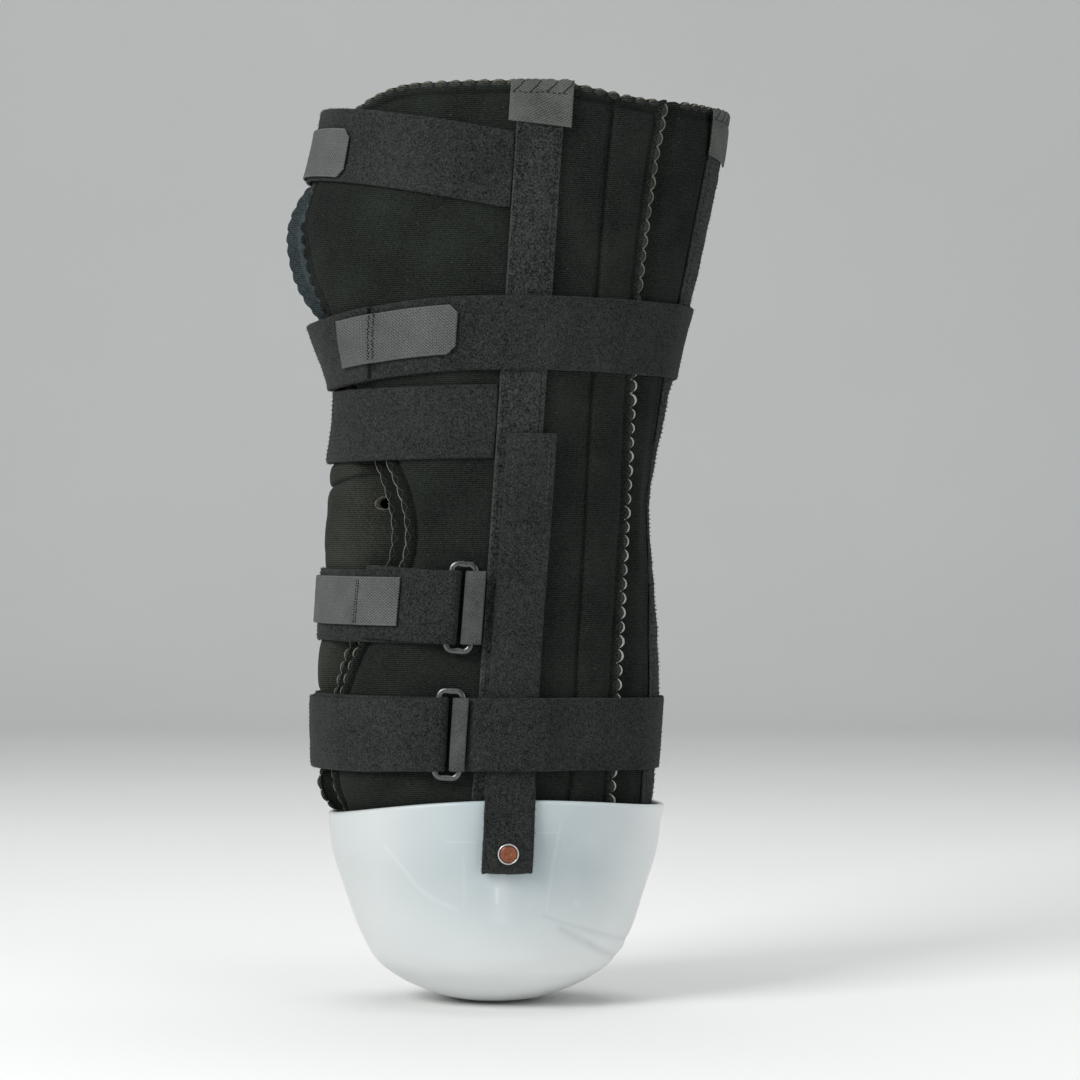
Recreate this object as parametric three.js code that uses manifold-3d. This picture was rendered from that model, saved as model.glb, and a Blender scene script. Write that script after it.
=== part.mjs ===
// Below-knee limb protector: a padded wrap on a plastic end cup, closed by five straps.
// Millimetres, +Z up the limb. The front of the limb faces -X and its outer side faces -Y.
// The origin is the middle of the cup's inside floor, where the end of the limb rests.
import * as THREE from "three";
import { mergeVertices } from "three/addons/utils/BufferGeometryUtils.js";
import Module from "manifold-3d";

const solids = await Module();
solids.setup();

// Thicknesses
const PADDING = 4;
const FACING = 2;
const TAPE = 1.8;
const STRAP = 2;
const CHAPE = 1.4;
const HOOK_TAB = 1.2;
const POCKET_TAB = 1.2;
const CUP_WALL = 3;

// Gaps between neighbours: padded layers, tapes and straps on them, doubled straps
const LAYER_GAP = 0.9;
const TAPE_GAP = 0.5;
const FOLD_GAP = 0.4;
const RING_GAP = 0.8;
const TAB_GAP = 0.9;

// Widths and heights
const STRAP_WIDTH = 36;
const TAPE_WIDTH = 23;
const SUSPENSION_WIDTH = 25;
const HOOK_TAB_WIDTH = 24;
const HOOK_TAB_CLIP = 4;
const POCKET_TAB_WIDTH = 31;
const WRAP_FOOT = 52;
const WRAP_TOP = 454.4;
const REAR_DROP = 7.4;
const DROP_START = 0.05;
const DROP_SPREAD = 0.65;
const CORNER_START = 395;
const CORNER_X = -36;
const CORNER_REACH = 60;
const STAY_LEAN = 0.068;
const REAR_LAP = 12;
const LAP_RISE = 12;
const FACING_SHOWN = 9;
const FACING_CLEAR = 1;
const FACING_LIFT = 2;
const TONGUE_LAP = 14;
const TONGUE_RISE = 16;
const TONGUE_FOOT = 64;
const TONGUE_TOP = 425;
const TONGUE_OPEN_LOW = 130;
const TONGUE_OPEN_HIGH = 318;
const CREASE_HEIGHT = 260;
const CREASE_DEPTH = 2.5;
const HOLE_X = -58;
const HOLE_HEIGHT = 249;
const HOLE_RADIUS = 3;
const SEAM_GROOVE = 0.8;
const EDGE_BAND = 6.5;

// Ring, rivet and cup
const RING_WIDTH = 15.2;
const RING_HEIGHT = 46;
const RING_CORNER = 5;
const RING_BAR = 3.4;
const RING_THICK = 3;
const TURN_SHIFT = 0.7;
const FOLD_FALL = 22;
const CHAPE_FALL = 9;
const RIVET_HEIGHT = 77.8;
const RIVET_X = 6.3;
const RIVET_HOLE = 2;
const CUP_FLAT = 0.83;
const RIM_MIDDLE = 98;
const RIM_SIDE_RISE = 4;
const RIM_BACK_RISE = 2;
const RIM_BLEND = 60;

// Steps of the surfaces
const SWEEP_STEP = 10;
const COURSE_STEP = 26;
const TURN_STEPS = 5;
const GIRTH_STEPS = 240;
const CUP_ROUND = 28;
const CUP_COURSES = 9;

// Outer skin of the wrap from the foot up: reach to the front and to the back, half depth
const WRAP = [
  { z: 52, front: -66, back: 67, depth: 54 },
  { z: 80, front: -75, back: 74, depth: 58.5 },
  { z: 96, front: -80.5, back: 77, depth: 61 },
  { z: 104, front: -86, back: 78, depth: 62 },
  { z: 114, front: -88.5, back: 78.5, depth: 62.5 },
  { z: 155, front: -89, back: 81, depth: 63 },
  { z: 198, front: -87, back: 79, depth: 61 },
  { z: 246, front: -84, back: 76, depth: 60.5 },
  { z: 271, front: -83, back: 79, depth: 62 },
  { z: 290, front: -80.5, back: 83, depth: 64 },
  { z: 309, front: -80.5, back: 87, depth: 66.5 },
  { z: 332, front: -88.6, back: 92, depth: 70 },
  { z: 358, front: -97, back: 99, depth: 74 },
  { z: 386, front: -100, back: 105.5, depth: 77.5 },
  { z: 413, front: -93, back: 111, depth: 79.5 },
  { z: 431, front: -88.5, back: 114, depth: 80 },
  { z: 460, front: -84, back: 116, depth: 80 },
];

// Front edge of a side panel below its round corner, cut back at the knee
const FRONT_EDGE = [
  { z: 52, x: -58 },
  { z: 93, x: -75.5 },
  { z: 111, x: -82 },
  { z: 140, x: -80.5 },
  { z: 160, x: -76 },
  { z: 180, x: -68 },
  { z: 200, x: -56 },
  { z: 219, x: -46.5 },
  { z: 233, x: -44 },
  { z: 250, x: -46.5 },
  { z: 272, x: -55.5 },
  { z: 290, x: -66.5 },
  { z: 309, x: -75 },
  { z: 345, x: -86 },
  { z: 362, x: -92 },
  { z: 386, x: -96.2 },
  { z: 395, x: -96 },
];

// Stay seam and rear edge of a side panel
const REAR_EDGES = [
  { z: 52, seam: 34, rear: 57 },
  { z: 108, seam: 38, rear: 60.5 },
  { z: 172, seam: 42, rear: 64 },
  { z: 240, seam: 45.5, rear: 67.6 },
  { z: 363, seam: 52, rear: 74.5 },
  { z: 454.4, seam: 60, rear: 87 },
];

// Middles of the tapes: the side ones in X, the rear one in degrees round from the side
const TAPES = [
  { z: 67, stay: -2, suspension: 5.9, rear: 80 },
  { z: 113, stay: 1.5, suspension: 7.8, rear: 80 },
  { z: 180, stay: 6, suspension: 11.2, rear: 84 },
  { z: 246, stay: 10.4, suspension: 16.2, rear: 97 },
  { z: 309, stay: 14.6, suspension: 20, rear: 84 },
  { z: 386, stay: 19.7, suspension: 25, rear: 77 },
  { z: 460, stay: 24.6, suspension: 30, rear: 77 },
];

// Outside of the cup from rim to bottom
const CUP = [
  { reach: 84.6, z: 98 },
  { reach: 82, z: 76 },
  { reach: 74.5, z: 50 },
  { reach: 69, z: 34 },
  { reach: 61.5, z: 20 },
  { reach: 52.5, z: 12 },
  { reach: 39.6, z: 5 },
  { reach: 21, z: -1 },
  { reach: 0, z: -3 },
];

// Straps: height at the sides, front and back, and how the middle line bends towards the front
const HEIGHTS = {
  thigh_upper: { side: 410.5, front: 429.5, back: 410.5, bend: 1 },
  thigh_lower: { side: 332, front: 325, back: 330, bend: 2 },
  knee: { side: 289, front: 287.5, back: 289, bend: 1 },
  calf_upper: { side: 197.5, front: 198.5, back: 197.5, bend: 1 },
  calf_lower: { side: 135.5, front: 136, back: 133.5, bend: 1 },
};

const LATERAL = -1;
const MEDIAL = 1;

const mix = (from, to, share) => from + (to - from) * share;
const ease = (value) => THREE.MathUtils.smoothstep(value, 0, 1);

// A smooth value of one column of a table whose rows climb in z.
function column(table, name, z) {
  const last = table.length - 1;
  const height = THREE.MathUtils.clamp(z, table[0].z, table[last].z);
  let row = 0;
  while (row < last - 1 && height > table[row + 1].z) {
    row += 1;
  }
  const slope = (middle) => {
    const below = table[Math.max(middle - 1, 0)];
    const above = table[Math.min(middle + 1, last)];
    return (above[name] - below[name]) / (above.z - below.z);
  };
  const span = table[row + 1].z - table[row].z;
  const t = (height - table[row].z) / span;
  const rise = table[row + 1][name] - table[row][name];
  const bend = slope(row) * span - rise;
  const bendNext = rise - slope(row + 1) * span;
  return table[row][name] + t * rise + t * (1 - t) * (bend * (1 - t) + bendNext * t);
}

function section(z) {
  const front = column(WRAP, "front", z);
  const back = column(WRAP, "back", z);
  return { middle: (front + back) / 2, half: (back - front) / 2, depth: column(WRAP, "depth", z) };
}

// A point of the wrap's skin, pushed out by lift. Angle 0 is the outer side, a quarter turn the back.
function skin(z, angle, lift) {
  const { middle, half, depth } = section(z);
  const outX = Math.sin(angle) / half;
  const outY = -Math.cos(angle) / depth;
  const size = Math.hypot(outX, outY);
  const x = middle + half * Math.sin(angle) + lift * outX / size;
  const y = -depth * Math.cos(angle) + lift * outY / size;
  return new THREE.Vector3(x, y, z);
}

function angleAt(z, x) {
  const { middle, half } = section(z);
  return Math.asin(THREE.MathUtils.clamp((x - middle) / half, -1, 1));
}

// Millimetres round the wrap for each radian of angle, on its skin or lifted off it.
function pace(z, angle, lift = 0) {
  const { half, depth } = section(z);
  const onSkin = Math.hypot(half * Math.cos(angle), depth * Math.sin(angle));
  return onSkin + (lift * half * depth) / (onSkin * onSkin);
}

// Lengths round the wrap at one height, from the outer side towards the back.
class Girth {
  constructor(z) {
    this.z = z;
    this.lean = STAY_LEAN - (section(z + 9).middle - section(z - 9).middle) / 18;
    this.lengths = [0];
    for (let i = 1; i <= GIRTH_STEPS; i += 1) {
      const here = skin(z, (i / GIRTH_STEPS) * 2 * Math.PI, 0);
      const before = skin(z, ((i - 1) / GIRTH_STEPS) * 2 * Math.PI, 0);
      this.lengths.push(this.lengths[i - 1] + here.distanceTo(before));
    }
    this.round = this.lengths[GIRTH_STEPS];
  }

  angle(length) {
    const turns = Math.floor(length / this.round);
    const rest = length - turns * this.round;
    let i = 0;
    while (i < GIRTH_STEPS - 1 && rest > this.lengths[i + 1]) {
      i += 1;
    }
    const share = (rest - this.lengths[i]) / (this.lengths[i + 1] - this.lengths[i]);
    return ((i + share) / GIRTH_STEPS + turns) * 2 * Math.PI;
  }

  length(angle) {
    const steps = (angle / (2 * Math.PI)) * GIRTH_STEPS;
    const turns = Math.floor(steps / GIRTH_STEPS);
    const i = Math.floor(steps - turns * GIRTH_STEPS);
    const share = steps - turns * GIRTH_STEPS - i;
    return turns * this.round + mix(this.lengths[i], this.lengths[i + 1], share);
  }

  near(x) {
    return this.length(angleAt(this.z, x));
  }

  farFront(x) {
    return -this.round / 2 - this.near(x);
  }

  farBack(x) {
    return this.round / 2 - this.near(x);
  }
}

// A closed solid from points and triangles, turned the right way out.
function solid(points, triangles) {
  let volume = 0;
  for (const [a, b, c] of triangles) {
    volume += points[a].dot(new THREE.Vector3().crossVectors(points[b], points[c]));
  }
  const order = volume < 0 ? triangles.map(([a, b, c]) => [a, c, b]) : triangles;
  const geometry = new THREE.BufferGeometry().setFromPoints(points);
  geometry.setIndex(order.flat());
  geometry.computeVertexNormals();
  return geometry;
}

// A slab between the inner and the outer face of a grid: place(row, step, face) gives its points.
function slab(rows, steps, place) {
  const points = [];
  const triangles = [];
  const at = (face, row, step) => (face * rows + row) * steps + step;
  const quad = (a, b, c, d) => triangles.push([a, b, c], [a, c, d]);
  for (let face = 0; face < 2; face += 1) {
    for (let row = 0; row < rows; row += 1) {
      for (let step = 0; step < steps; step += 1) {
        points.push(place(row, step, face));
      }
    }
  }
  const endRow = rows - 1;
  const endStep = steps - 1;
  for (let row = 0; row < endRow; row += 1) {
    for (let step = 0; step < endStep; step += 1) {
      quad(at(1, row, step), at(1, row, step + 1), at(1, row + 1, step + 1), at(1, row + 1, step));
      quad(at(0, row, step), at(0, row + 1, step), at(0, row + 1, step + 1), at(0, row, step + 1));
    }
    quad(at(0, row, 0), at(1, row, 0), at(1, row + 1, 0), at(0, row + 1, 0));
    quad(at(0, row, endStep), at(0, row + 1, endStep), at(1, row + 1, endStep), at(1, row, endStep));
  }
  for (let step = 0; step < endStep; step += 1) {
    quad(at(1, 0, step + 1), at(1, 0, step), at(0, 0, step), at(0, 0, step + 1));
    quad(at(1, endRow, step), at(1, endRow, step + 1), at(0, endRow, step + 1), at(0, endRow, step));
  }
  return solid(points, triangles);
}

// A band swept along a path of (along, lift) points; chart(along, lift, across) puts it in space.
function band(path, thickness, widthAt, chart, spans = 1) {
  return slab(path.length, spans + 1, (row, step, face) => {
    const before = path[Math.max(row - 1, 0)];
    const after = path[Math.min(row + 1, path.length - 1)];
    const heading = new THREE.Vector2().subVectors(after, before).normalize();
    const out = (face - 0.5) * thickness;
    const across = (step / spans - 0.5) * widthAt(row);
    return chart(path[row].x - heading.y * out, path[row].y + heading.x * out, across);
  });
}

function sweep(from, to, liftAt) {
  const count = Math.max(2, Math.ceil(Math.abs(to - from) / SWEEP_STEP));
  return Array.from({ length: count + 1 }, (_, i) => {
    const along = mix(from, to, i / count);
    return new THREE.Vector2(along, liftAt(along));
  });
}

// Heights of the rows of a sheet, with a row at every section of the wrap.
function courses(from, to) {
  const marks = [from, ...WRAP.map((row) => row.z).filter((z) => z > from + 3 && z < to - 3), to];
  const heights = [from];
  for (let i = 1; i < marks.length; i += 1) {
    const count = Math.ceil((marks[i] - marks[i - 1]) / COURSE_STEP);
    for (let k = 1; k <= count; k += 1) {
      heights.push(mix(marks[i - 1], marks[i], k / count));
    }
  }
  return heights;
}

function mirrored(point, side) {
  return side === MEDIAL ? point.setY(-point.y) : point;
}

function asManifold(geometry) {
  const bare = geometry.clone();
  bare.deleteAttribute("normal");
  bare.deleteAttribute("uv");
  const welded = mergeVertices(bare, 1e-4);
  const mesh = new solids.Mesh({
    numProp: 3,
    vertProperties: new Float32Array(welded.attributes.position.array),
    triVerts: new Uint32Array(welded.index.array),
  });
  return new solids.Manifold(mesh);
}

function cut(geometry, tool) {
  const mesh = asManifold(geometry).subtract(asManifold(tool)).getMesh();
  const left = new THREE.BufferGeometry();
  left.setAttribute("position", new THREE.BufferAttribute(mesh.vertProperties, 3));
  left.setIndex(new THREE.BufferAttribute(mesh.triVerts, 1));
  left.computeVertexNormals();
  return left;
}

function rearDrop(z, angle) {
  const share = ease((z - CORNER_START) / (WRAP_TOP - CORNER_START));
  return REAR_DROP * share * ease((angle - DROP_START) / DROP_SPREAD);
}

function frontEdge(z) {
  if (z <= CORNER_START) {
    return column(FRONT_EDGE, "x", z);
  }
  const climb = Math.min((z - CORNER_START) / (WRAP_TOP - CORNER_START), 1);
  const x = CORNER_X - CORNER_REACH * Math.sqrt(1 - climb * climb);
  return Math.max(x, section(z).middle - section(z).half + 2.5);
}

const rearEdge = (z) => column(REAR_EDGES, "rear", z);

// Side panel: even columns to the stay seam, a groove there, then the stay channel and edge band.
function sidePanel(side) {
  const round = [14, 28, 42, 56, 68, 79, 90].map((degrees) => {
    return CORNER_START + (WRAP_TOP - CORNER_START) * Math.sin(THREE.MathUtils.degToRad(degrees));
  });
  const heights = [...courses(WRAP_FOOT, CORNER_START), ...round];
  const plain = 5;
  const grid = heights.map((z) => {
    const start = angleAt(z, frontEdge(z));
    const inner = start + EDGE_BAND / pace(z, start);
    const seam = angleAt(z, column(REAR_EDGES, "seam", z));
    const rear = angleAt(z, rearEdge(z));
    const step = (millimetres) => millimetres / pace(z, seam);
    const columns = [{ angle: start, sink: 0 }];
    for (let i = 0; i <= plain; i += 1) {
      columns.push({ angle: mix(inner, seam - step(3), i / plain), sink: 0 });
    }
    columns.push({ angle: seam, sink: SEAM_GROOVE });
    columns.push({ angle: seam + step(3), sink: 0 });
    columns.push({ angle: rear - step(EDGE_BAND), sink: SEAM_GROOVE });
    columns.push({ angle: rear, sink: 0 });
    return columns;
  });
  return slab(heights.length, grid[0].length, (row, step, face) => {
    const { angle, sink } = grid[row][step];
    const z = heights[row] - rearDrop(heights[row], angle);
    return mirrored(skin(z, angle, face ? -sink : -PADDING), side);
  });
}

// Rear panel: full height at the back, stepping down to tuck under both side panels.
function rearPanel() {
  const heights = [...courses(WRAP_FOOT, CORNER_START), 410, 425, 440, WRAP_TOP];
  const tuck = PADDING + LAYER_GAP;
  const middles = 4;
  const grid = heights.map((z) => {
    const rear = angleAt(z, rearEdge(z));
    const step = (millimetres) => millimetres / pace(z, rear);
    const rise = rear + step(LAP_RISE);
    const near = [
      { angle: rear - step(REAR_LAP), lift: -tuck },
      { angle: rear + step(1), lift: -tuck },
    ];
    const far = near.map(({ angle, lift }) => ({ angle: Math.PI - angle, lift })).reverse();
    const back = Array.from({ length: middles + 1 }, (_, i) => {
      return { angle: mix(rise, Math.PI - rise, i / middles), lift: 0 };
    });
    return [...near, ...back, ...far];
  });
  return slab(heights.length, grid[0].length, (row, step, face) => {
    const { angle, lift } = grid[row][step];
    const nearest = Math.min(angle, Math.PI - angle);
    const z = heights[row] - rearDrop(heights[row], nearest);
    return skin(z, angle, lift - (face ? 0 : PADDING));
  });
}

// Where the free edge of a facing curls out between straps, and how far
const LIPS = [
  { low: 92, high: 117, out: 7 },
  { low: 342, high: 410, out: 9.5 },
];

// Where the tongue puffs out between straps, and how far
const PUFFS = [
  { low: 155, high: 180, out: 2 },
  { low: 217, high: 268, out: 2.4 },
];

function bulge(places, z) {
  let out = 0;
  for (const place of places) {
    const share = THREE.MathUtils.clamp((z - place.low) / (place.high - place.low), 0, 1);
    out += place.out * Math.sin(Math.PI * share) ** 0.3;
  }
  return out;
}

function facing(side) {
  const shares = [0, 0.04, 0.2, 0.42, 0.64, 0.78, 0.96, 1];
  const lips = LIPS.flatMap(({ low, high }) => shares.map((share) => mix(low, high, share)));
  const apart = (z) => LIPS.every(({ low, high }) => z < low - 2 || z > high + 2);
  const heights = courses(WRAP_FOOT, LIPS.at(-1).high).filter(apart);
  heights.push(...lips);
  heights.sort((a, b) => a - b);
  const offsets = [EDGE_BAND, -FACING_CLEAR, -(FACING_CLEAR + FACING_SHOWN) / 2, -FACING_SHOWN];
  return slab(heights.length, offsets.length, (row, step, face) => {
    const z = heights[row];
    const edge = angleAt(z, frontEdge(z));
    const shown = Math.max(0, step - 1) / (offsets.length - 2);
    const lift = -PADDING - LAYER_GAP + (FACING_LIFT + bulge(LIPS, z)) * shown ** 1.5;
    const angle = edge + offsets[step] / pace(z, edge);
    return mirrored(skin(z, angle, lift - (face ? 0 : FACING)), side);
  });
}

// Tongue: tucked under both facings at its sides, out near the skin in the open middle.
function tongue() {
  const creases = [-5, 0, 5].map((step) => CREASE_HEIGHT + step);
  const shares = [0, 0.06, 0.5, 0.94, 1];
  const puffs = PUFFS.flatMap(({ low, high }) => shares.map((share) => mix(low, high, share)));
  const apart = (z) => [...creases, ...puffs].every((mark) => Math.abs(z - mark) > 7);
  const heights = courses(TONGUE_FOOT, TONGUE_TOP).filter(apart);
  heights.push(...creases, ...puffs.filter((z) => Math.abs(z - CREASE_HEIGHT) > 5.5));
  heights.sort((a, b) => a - b);
  const steps = 7;
  const low = PADDING + FACING + 3 * LAYER_GAP;
  const sheet = slab(heights.length, steps, (row, step, face) => {
    const z = heights[row];
    const edge = angleAt(z, frontEdge(z));
    const start = edge + TONGUE_LAP / pace(z, edge);
    const angle = mix(start, -Math.PI - start, step / (steps - 1));
    const nearest = Math.max(angle, -Math.PI - angle);
    const beyond = (edge - nearest) * pace(z, edge) - FACING_SHOWN;
    const open = ease((z - TONGUE_OPEN_LOW) / 25) * ease((TONGUE_OPEN_HIGH - z) / 35);
    const lift = mix(-low, -LAYER_GAP, open * ease(beyond / TONGUE_RISE));
    const crease = z === CREASE_HEIGHT ? CREASE_DEPTH : 0;
    const puff = (bulge(PUFFS, z) - crease) * ease(beyond / TONGUE_RISE);
    return skin(z, angle, lift + puff - (face ? 0 : PADDING));
  });
  const punch = new THREE.CylinderGeometry(HOLE_RADIUS, HOLE_RADIUS, 6 * PADDING, 12);
  const out = new THREE.Vector3();
  const angle = angleAt(HOLE_HEIGHT, HOLE_X);
  const spot = skin(HOLE_HEIGHT, angle, -low / 2);
  out.subVectors(skin(HOLE_HEIGHT, angle, 1), spot).normalize();
  punch.applyQuaternion(new THREE.Quaternion().setFromUnitVectors(new THREE.Vector3(0, 1, 0), out));
  punch.translate(spot.x, spot.y, spot.z);
  return cut(sheet, punch);
}

// Chart of a tape that runs up the wrap: along is the height.
function tapeChart(middleAt, side) {
  return (z, lift, across) => {
    const angle = middleAt(z);
    return mirrored(skin(z, angle + across / pace(z, angle, lift), lift), side);
  };
}

const stayAngle = (z) => angleAt(z, column(TAPES, "stay", z));
const suspensionAngle = (z) => angleAt(z, column(TAPES, "suspension", z));
const rearAngle = (z) => THREE.MathUtils.degToRad(column(TAPES, "rear", z));

function stayStrip(middleAt, side, top, spans) {
  const path = courses(88, top).map((z) => new THREE.Vector2(z, TAPE_GAP + TAPE / 2));
  return band(path, TAPE, () => TAPE_WIDTH, tapeChart(middleAt, side), spans);
}

function pocketTab(middleAt, side, top, length, spans) {
  const lift = 2 * TAPE_GAP + TAPE + POCKET_TAB / 2;
  const path = sweep(top - length, top, () => lift);
  return band(path, POCKET_TAB, () => POCKET_TAB_WIDTH, tapeChart(middleAt, side), spans);
}

// Cup profile, its rim higher at both sides than at the front.
const cupProfile = new THREE.SplineCurve(CUP.map(({ reach, z }) => new THREE.Vector2(reach, z)));

function rimShift(angle) {
  const rise = RIM_SIDE_RISE * Math.cos(2 * angle) + RIM_BACK_RISE * Math.sin(angle);
  return RIM_MIDDLE + rise - CUP[0].z;
}

function cupPoint(share, angle, inset) {
  const spot = cupProfile.getPoint(share);
  const run = cupProfile.getTangent(share);
  const reach = share === 1 ? 0 : Math.max(spot.x + run.y * inset, 0.5);
  const z = spot.y - run.x * inset;
  const shift = rimShift(angle) * ease((spot.y - CUP[0].z + RIM_BLEND) / RIM_BLEND);
  return new THREE.Vector3(reach * Math.sin(angle), -CUP_FLAT * reach * Math.cos(angle), z + shift);
}

function cupReach(z) {
  let low = 0;
  let high = 0.8;
  for (let i = 0; i < 30; i += 1) {
    const middle = (low + high) / 2;
    if (cupProfile.getPoint(middle).y > z) {
      low = middle;
    } else {
      high = middle;
    }
  }
  return cupProfile.getPoint(low).x;
}

function cup() {
  const points = [];
  const triangles = [];
  const insets = [0, CUP_WALL];
  const at = (layer, row, step) => (layer * CUP_COURSES + row) * CUP_ROUND + (step % CUP_ROUND);
  for (const inset of insets) {
    for (let row = 0; row < CUP_COURSES; row += 1) {
      for (let step = 0; step < CUP_ROUND; step += 1) {
        points.push(cupPoint(row / CUP_COURSES, (step / CUP_ROUND) * 2 * Math.PI, inset));
      }
    }
  }
  const poles = insets.map((inset) => points.push(new THREE.Vector3(0, 0, CUP.at(-1).z + inset)) - 1);
  const quad = (a, b, c, d) => triangles.push([a, b, c], [a, c, d]);
  for (let step = 0; step < CUP_ROUND; step += 1) {
    for (let row = 0; row < CUP_COURSES - 1; row += 1) {
      quad(at(0, row, step), at(0, row + 1, step), at(0, row + 1, step + 1), at(0, row, step + 1));
      quad(at(1, row, step), at(1, row, step + 1), at(1, row + 1, step + 1), at(1, row + 1, step));
    }
    const end = CUP_COURSES - 1;
    triangles.push([at(0, end, step), poles[0], at(0, end, step + 1)]);
    triangles.push([at(1, end, step), at(1, end, step + 1), poles[1]]);
    quad(at(0, 0, step), at(0, 0, step + 1), at(1, 0, step + 1), at(1, 0, step));
  }
  return solid(points, triangles);
}

// Lift of the cup's outside over the wrap's skin, along the middle of the suspension strap.
function cupLift(z) {
  const x = column(TAPES, "suspension", z);
  const reach = cupReach(z);
  const outside = CUP_FLAT * Math.sqrt(reach * reach - x * x);
  return outside + skin(z, suspensionAngle(z), 0).y;
}

// Suspension strap: down the stay strip, out over the cup's rim, its end folded under.
const SUSPENSION_TOP = 283;
const SUSPENSION_FOOT = 69.5;
const UNDERFOLD_TOP = 84;
const RIM_REST = 103;
const RIM_RAMP = 12.5;

function suspensionLift(z) {
  const onTape = 2 * TAPE_GAP + TAPE + STRAP / 2;
  const onCup = cupLift(Math.min(z, RIM_REST)) + 2 * TAPE_GAP + STRAP / 2;
  const doubled = (STRAP + FOLD_GAP) * ease((UNDERFOLD_TOP + 14 - z) / 12);
  return mix(onCup + doubled, onTape, ease((z - RIM_REST) / RIM_RAMP));
}

function suspensionStrap(side) {
  const path = sweep(SUSPENSION_TOP, SUSPENSION_FOOT, suspensionLift);
  const radius = (STRAP + FOLD_GAP) / 2;
  const end = path.at(-1);
  for (let i = 1; i <= TURN_STEPS; i += 1) {
    const turn = (Math.PI * i) / TURN_STEPS;
    const drop = radius * Math.sin(turn);
    path.push(new THREE.Vector2(end.x - drop, end.y - radius * (1 - Math.cos(turn))));
  }
  const foldLift = suspensionLift(SUSPENSION_FOOT) - 2 * radius - cupLift(SUSPENSION_FOOT);
  const under = (z) => cupLift(z) + foldLift;
  path.push(...sweep(SUSPENSION_FOOT + 2, UNDERFOLD_TOP, under));
  return band(path, STRAP, () => SUSPENSION_WIDTH, tapeChart(suspensionAngle, side), 2);
}

// Place of the rivet on the strap's outside, with its axis pointing out.
function rivetSeat(side) {
  const chart = tapeChart((z) => angleAt(z, RIVET_X), side);
  const lift = (z) => suspensionLift(z) + STRAP / 2;
  const spot = chart(RIVET_HEIGHT, lift(RIVET_HEIGHT), 0);
  const above = chart(RIVET_HEIGHT + 4, lift(RIVET_HEIGHT + 4), 0);
  const below = chart(RIVET_HEIGHT - 4, lift(RIVET_HEIGHT - 4), 0);
  const up = above.sub(below);
  const ahead = chart(RIVET_HEIGHT, lift(RIVET_HEIGHT), 3);
  const behind = chart(RIVET_HEIGHT, lift(RIVET_HEIGHT), -3);
  const along = ahead.sub(behind);
  const out = new THREE.Vector3().crossVectors(up, along).normalize();
  if (out.y * side < 0) {
    out.negate();
  }
  return { spot, turn: new THREE.Quaternion().setFromUnitVectors(new THREE.Vector3(0, 1, 0), out) };
}

function onRivet(geometry, side) {
  const { spot, turn } = rivetSeat(side);
  geometry.applyQuaternion(turn);
  geometry.translate(spot.x, spot.y, spot.z);
  return geometry;
}

function turned(profile) {
  const points = profile.map(([radius, height]) => new THREE.Vector2(radius, height));
  return new THREE.LatheGeometry(points, 10);
}

// Rivet: flat burr inside the cup, shank through cup and strap, low copper head in the washer.
function rivet(side) {
  const shank = [[0, -10.2], [3.6, -10.2], [3.6, -9.4], [1.6, -9.4], [1.6, 1.1]];
  const head = [[4.1, 1.1], [3.9, 1.6], [2.4, 1.9], [0, 2]];
  return onRivet(turned([...shank, ...head]), side);
}

function rivetWasher(side) {
  const outside = [[2, 0.3], [5.2, 0.3], [5.2, 1.4], [4.5, 1.4]];
  const seat = [[4.3, 0.8], [2, 0.8], [2, 0.3]];
  return onRivet(turned([...outside, ...seat]), side);
}

function rivetPunch(side) {
  return onRivet(new THREE.CylinderGeometry(RIVET_HOLE, RIVET_HOLE, 24, 10), side);
}

// Straps run round the wrap: along is the length from the outer side, towards the back.
function strapHeight(name, angle) {
  const { side, front, back, bend } = HEIGHTS[name];
  const forward = -Math.sin(angle);
  return forward > 0 ? mix(side, front, forward ** bend) : mix(side, back, forward * forward);
}

function strapChart(name, girth, rise = 0) {
  return (length, lift, across) => {
    const lean = girth.lean * Math.cos(girth.angle(length));
    const angle = girth.angle(length + lean * (rise + across));
    return skin(strapHeight(name, angle) + rise + across, angle, lift);
  };
}

// How far a strap is pushed out by the tapes that it crosses.
function pushed(length, tapes) {
  let most = 0;
  for (const { middle, half, height } of tapes) {
    const ramp = 1 - (Math.abs(length - middle) - half - 2) / 14;
    most = Math.max(most, height * ease(ramp));
  }
  return most;
}

function tapesUnder(girth, withSuspension) {
  const z = girth.z;
  const stay = column(TAPES, "stay", z);
  const suspension = column(TAPES, "suspension", z);
  const one = TAPE + TAPE_GAP;
  const two = one + STRAP + 2 * TAPE_GAP;
  const tapes = [
    { middle: girth.near(stay), half: TAPE_WIDTH / 2, height: one },
    { middle: girth.farBack(stay), half: TAPE_WIDTH / 2, height: one },
    { middle: girth.length(rearAngle(z)), half: TAPE_WIDTH / 2 + 3, height: one },
  ];
  if (withSuspension) {
    tapes.push({ middle: girth.near(suspension), half: SUSPENSION_WIDTH / 2, height: two });
    tapes.push({ middle: girth.farBack(suspension), half: SUSPENSION_WIDTH / 2, height: two });
  }
  return tapes;
}

const RING_LIFT = TAPE_GAP + STRAP + RING_GAP + RING_THICK / 2;
const BAR_SPREAD = (RING_WIDTH - RING_BAR) / 2;
const DOUBLED = STRAP + FOLD_GAP;

function barTurn(middle, heading, low) {
  const radius = RING_LIFT - low;
  return Array.from({ length: TURN_STEPS + 1 }, (_, i) => {
    const turn = Math.PI * (i / TURN_STEPS - 0.5);
    const along = middle + heading * radius * Math.cos(turn);
    return new THREE.Vector2(along, RING_LIFT + radius * Math.sin(turn));
  });
}

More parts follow.
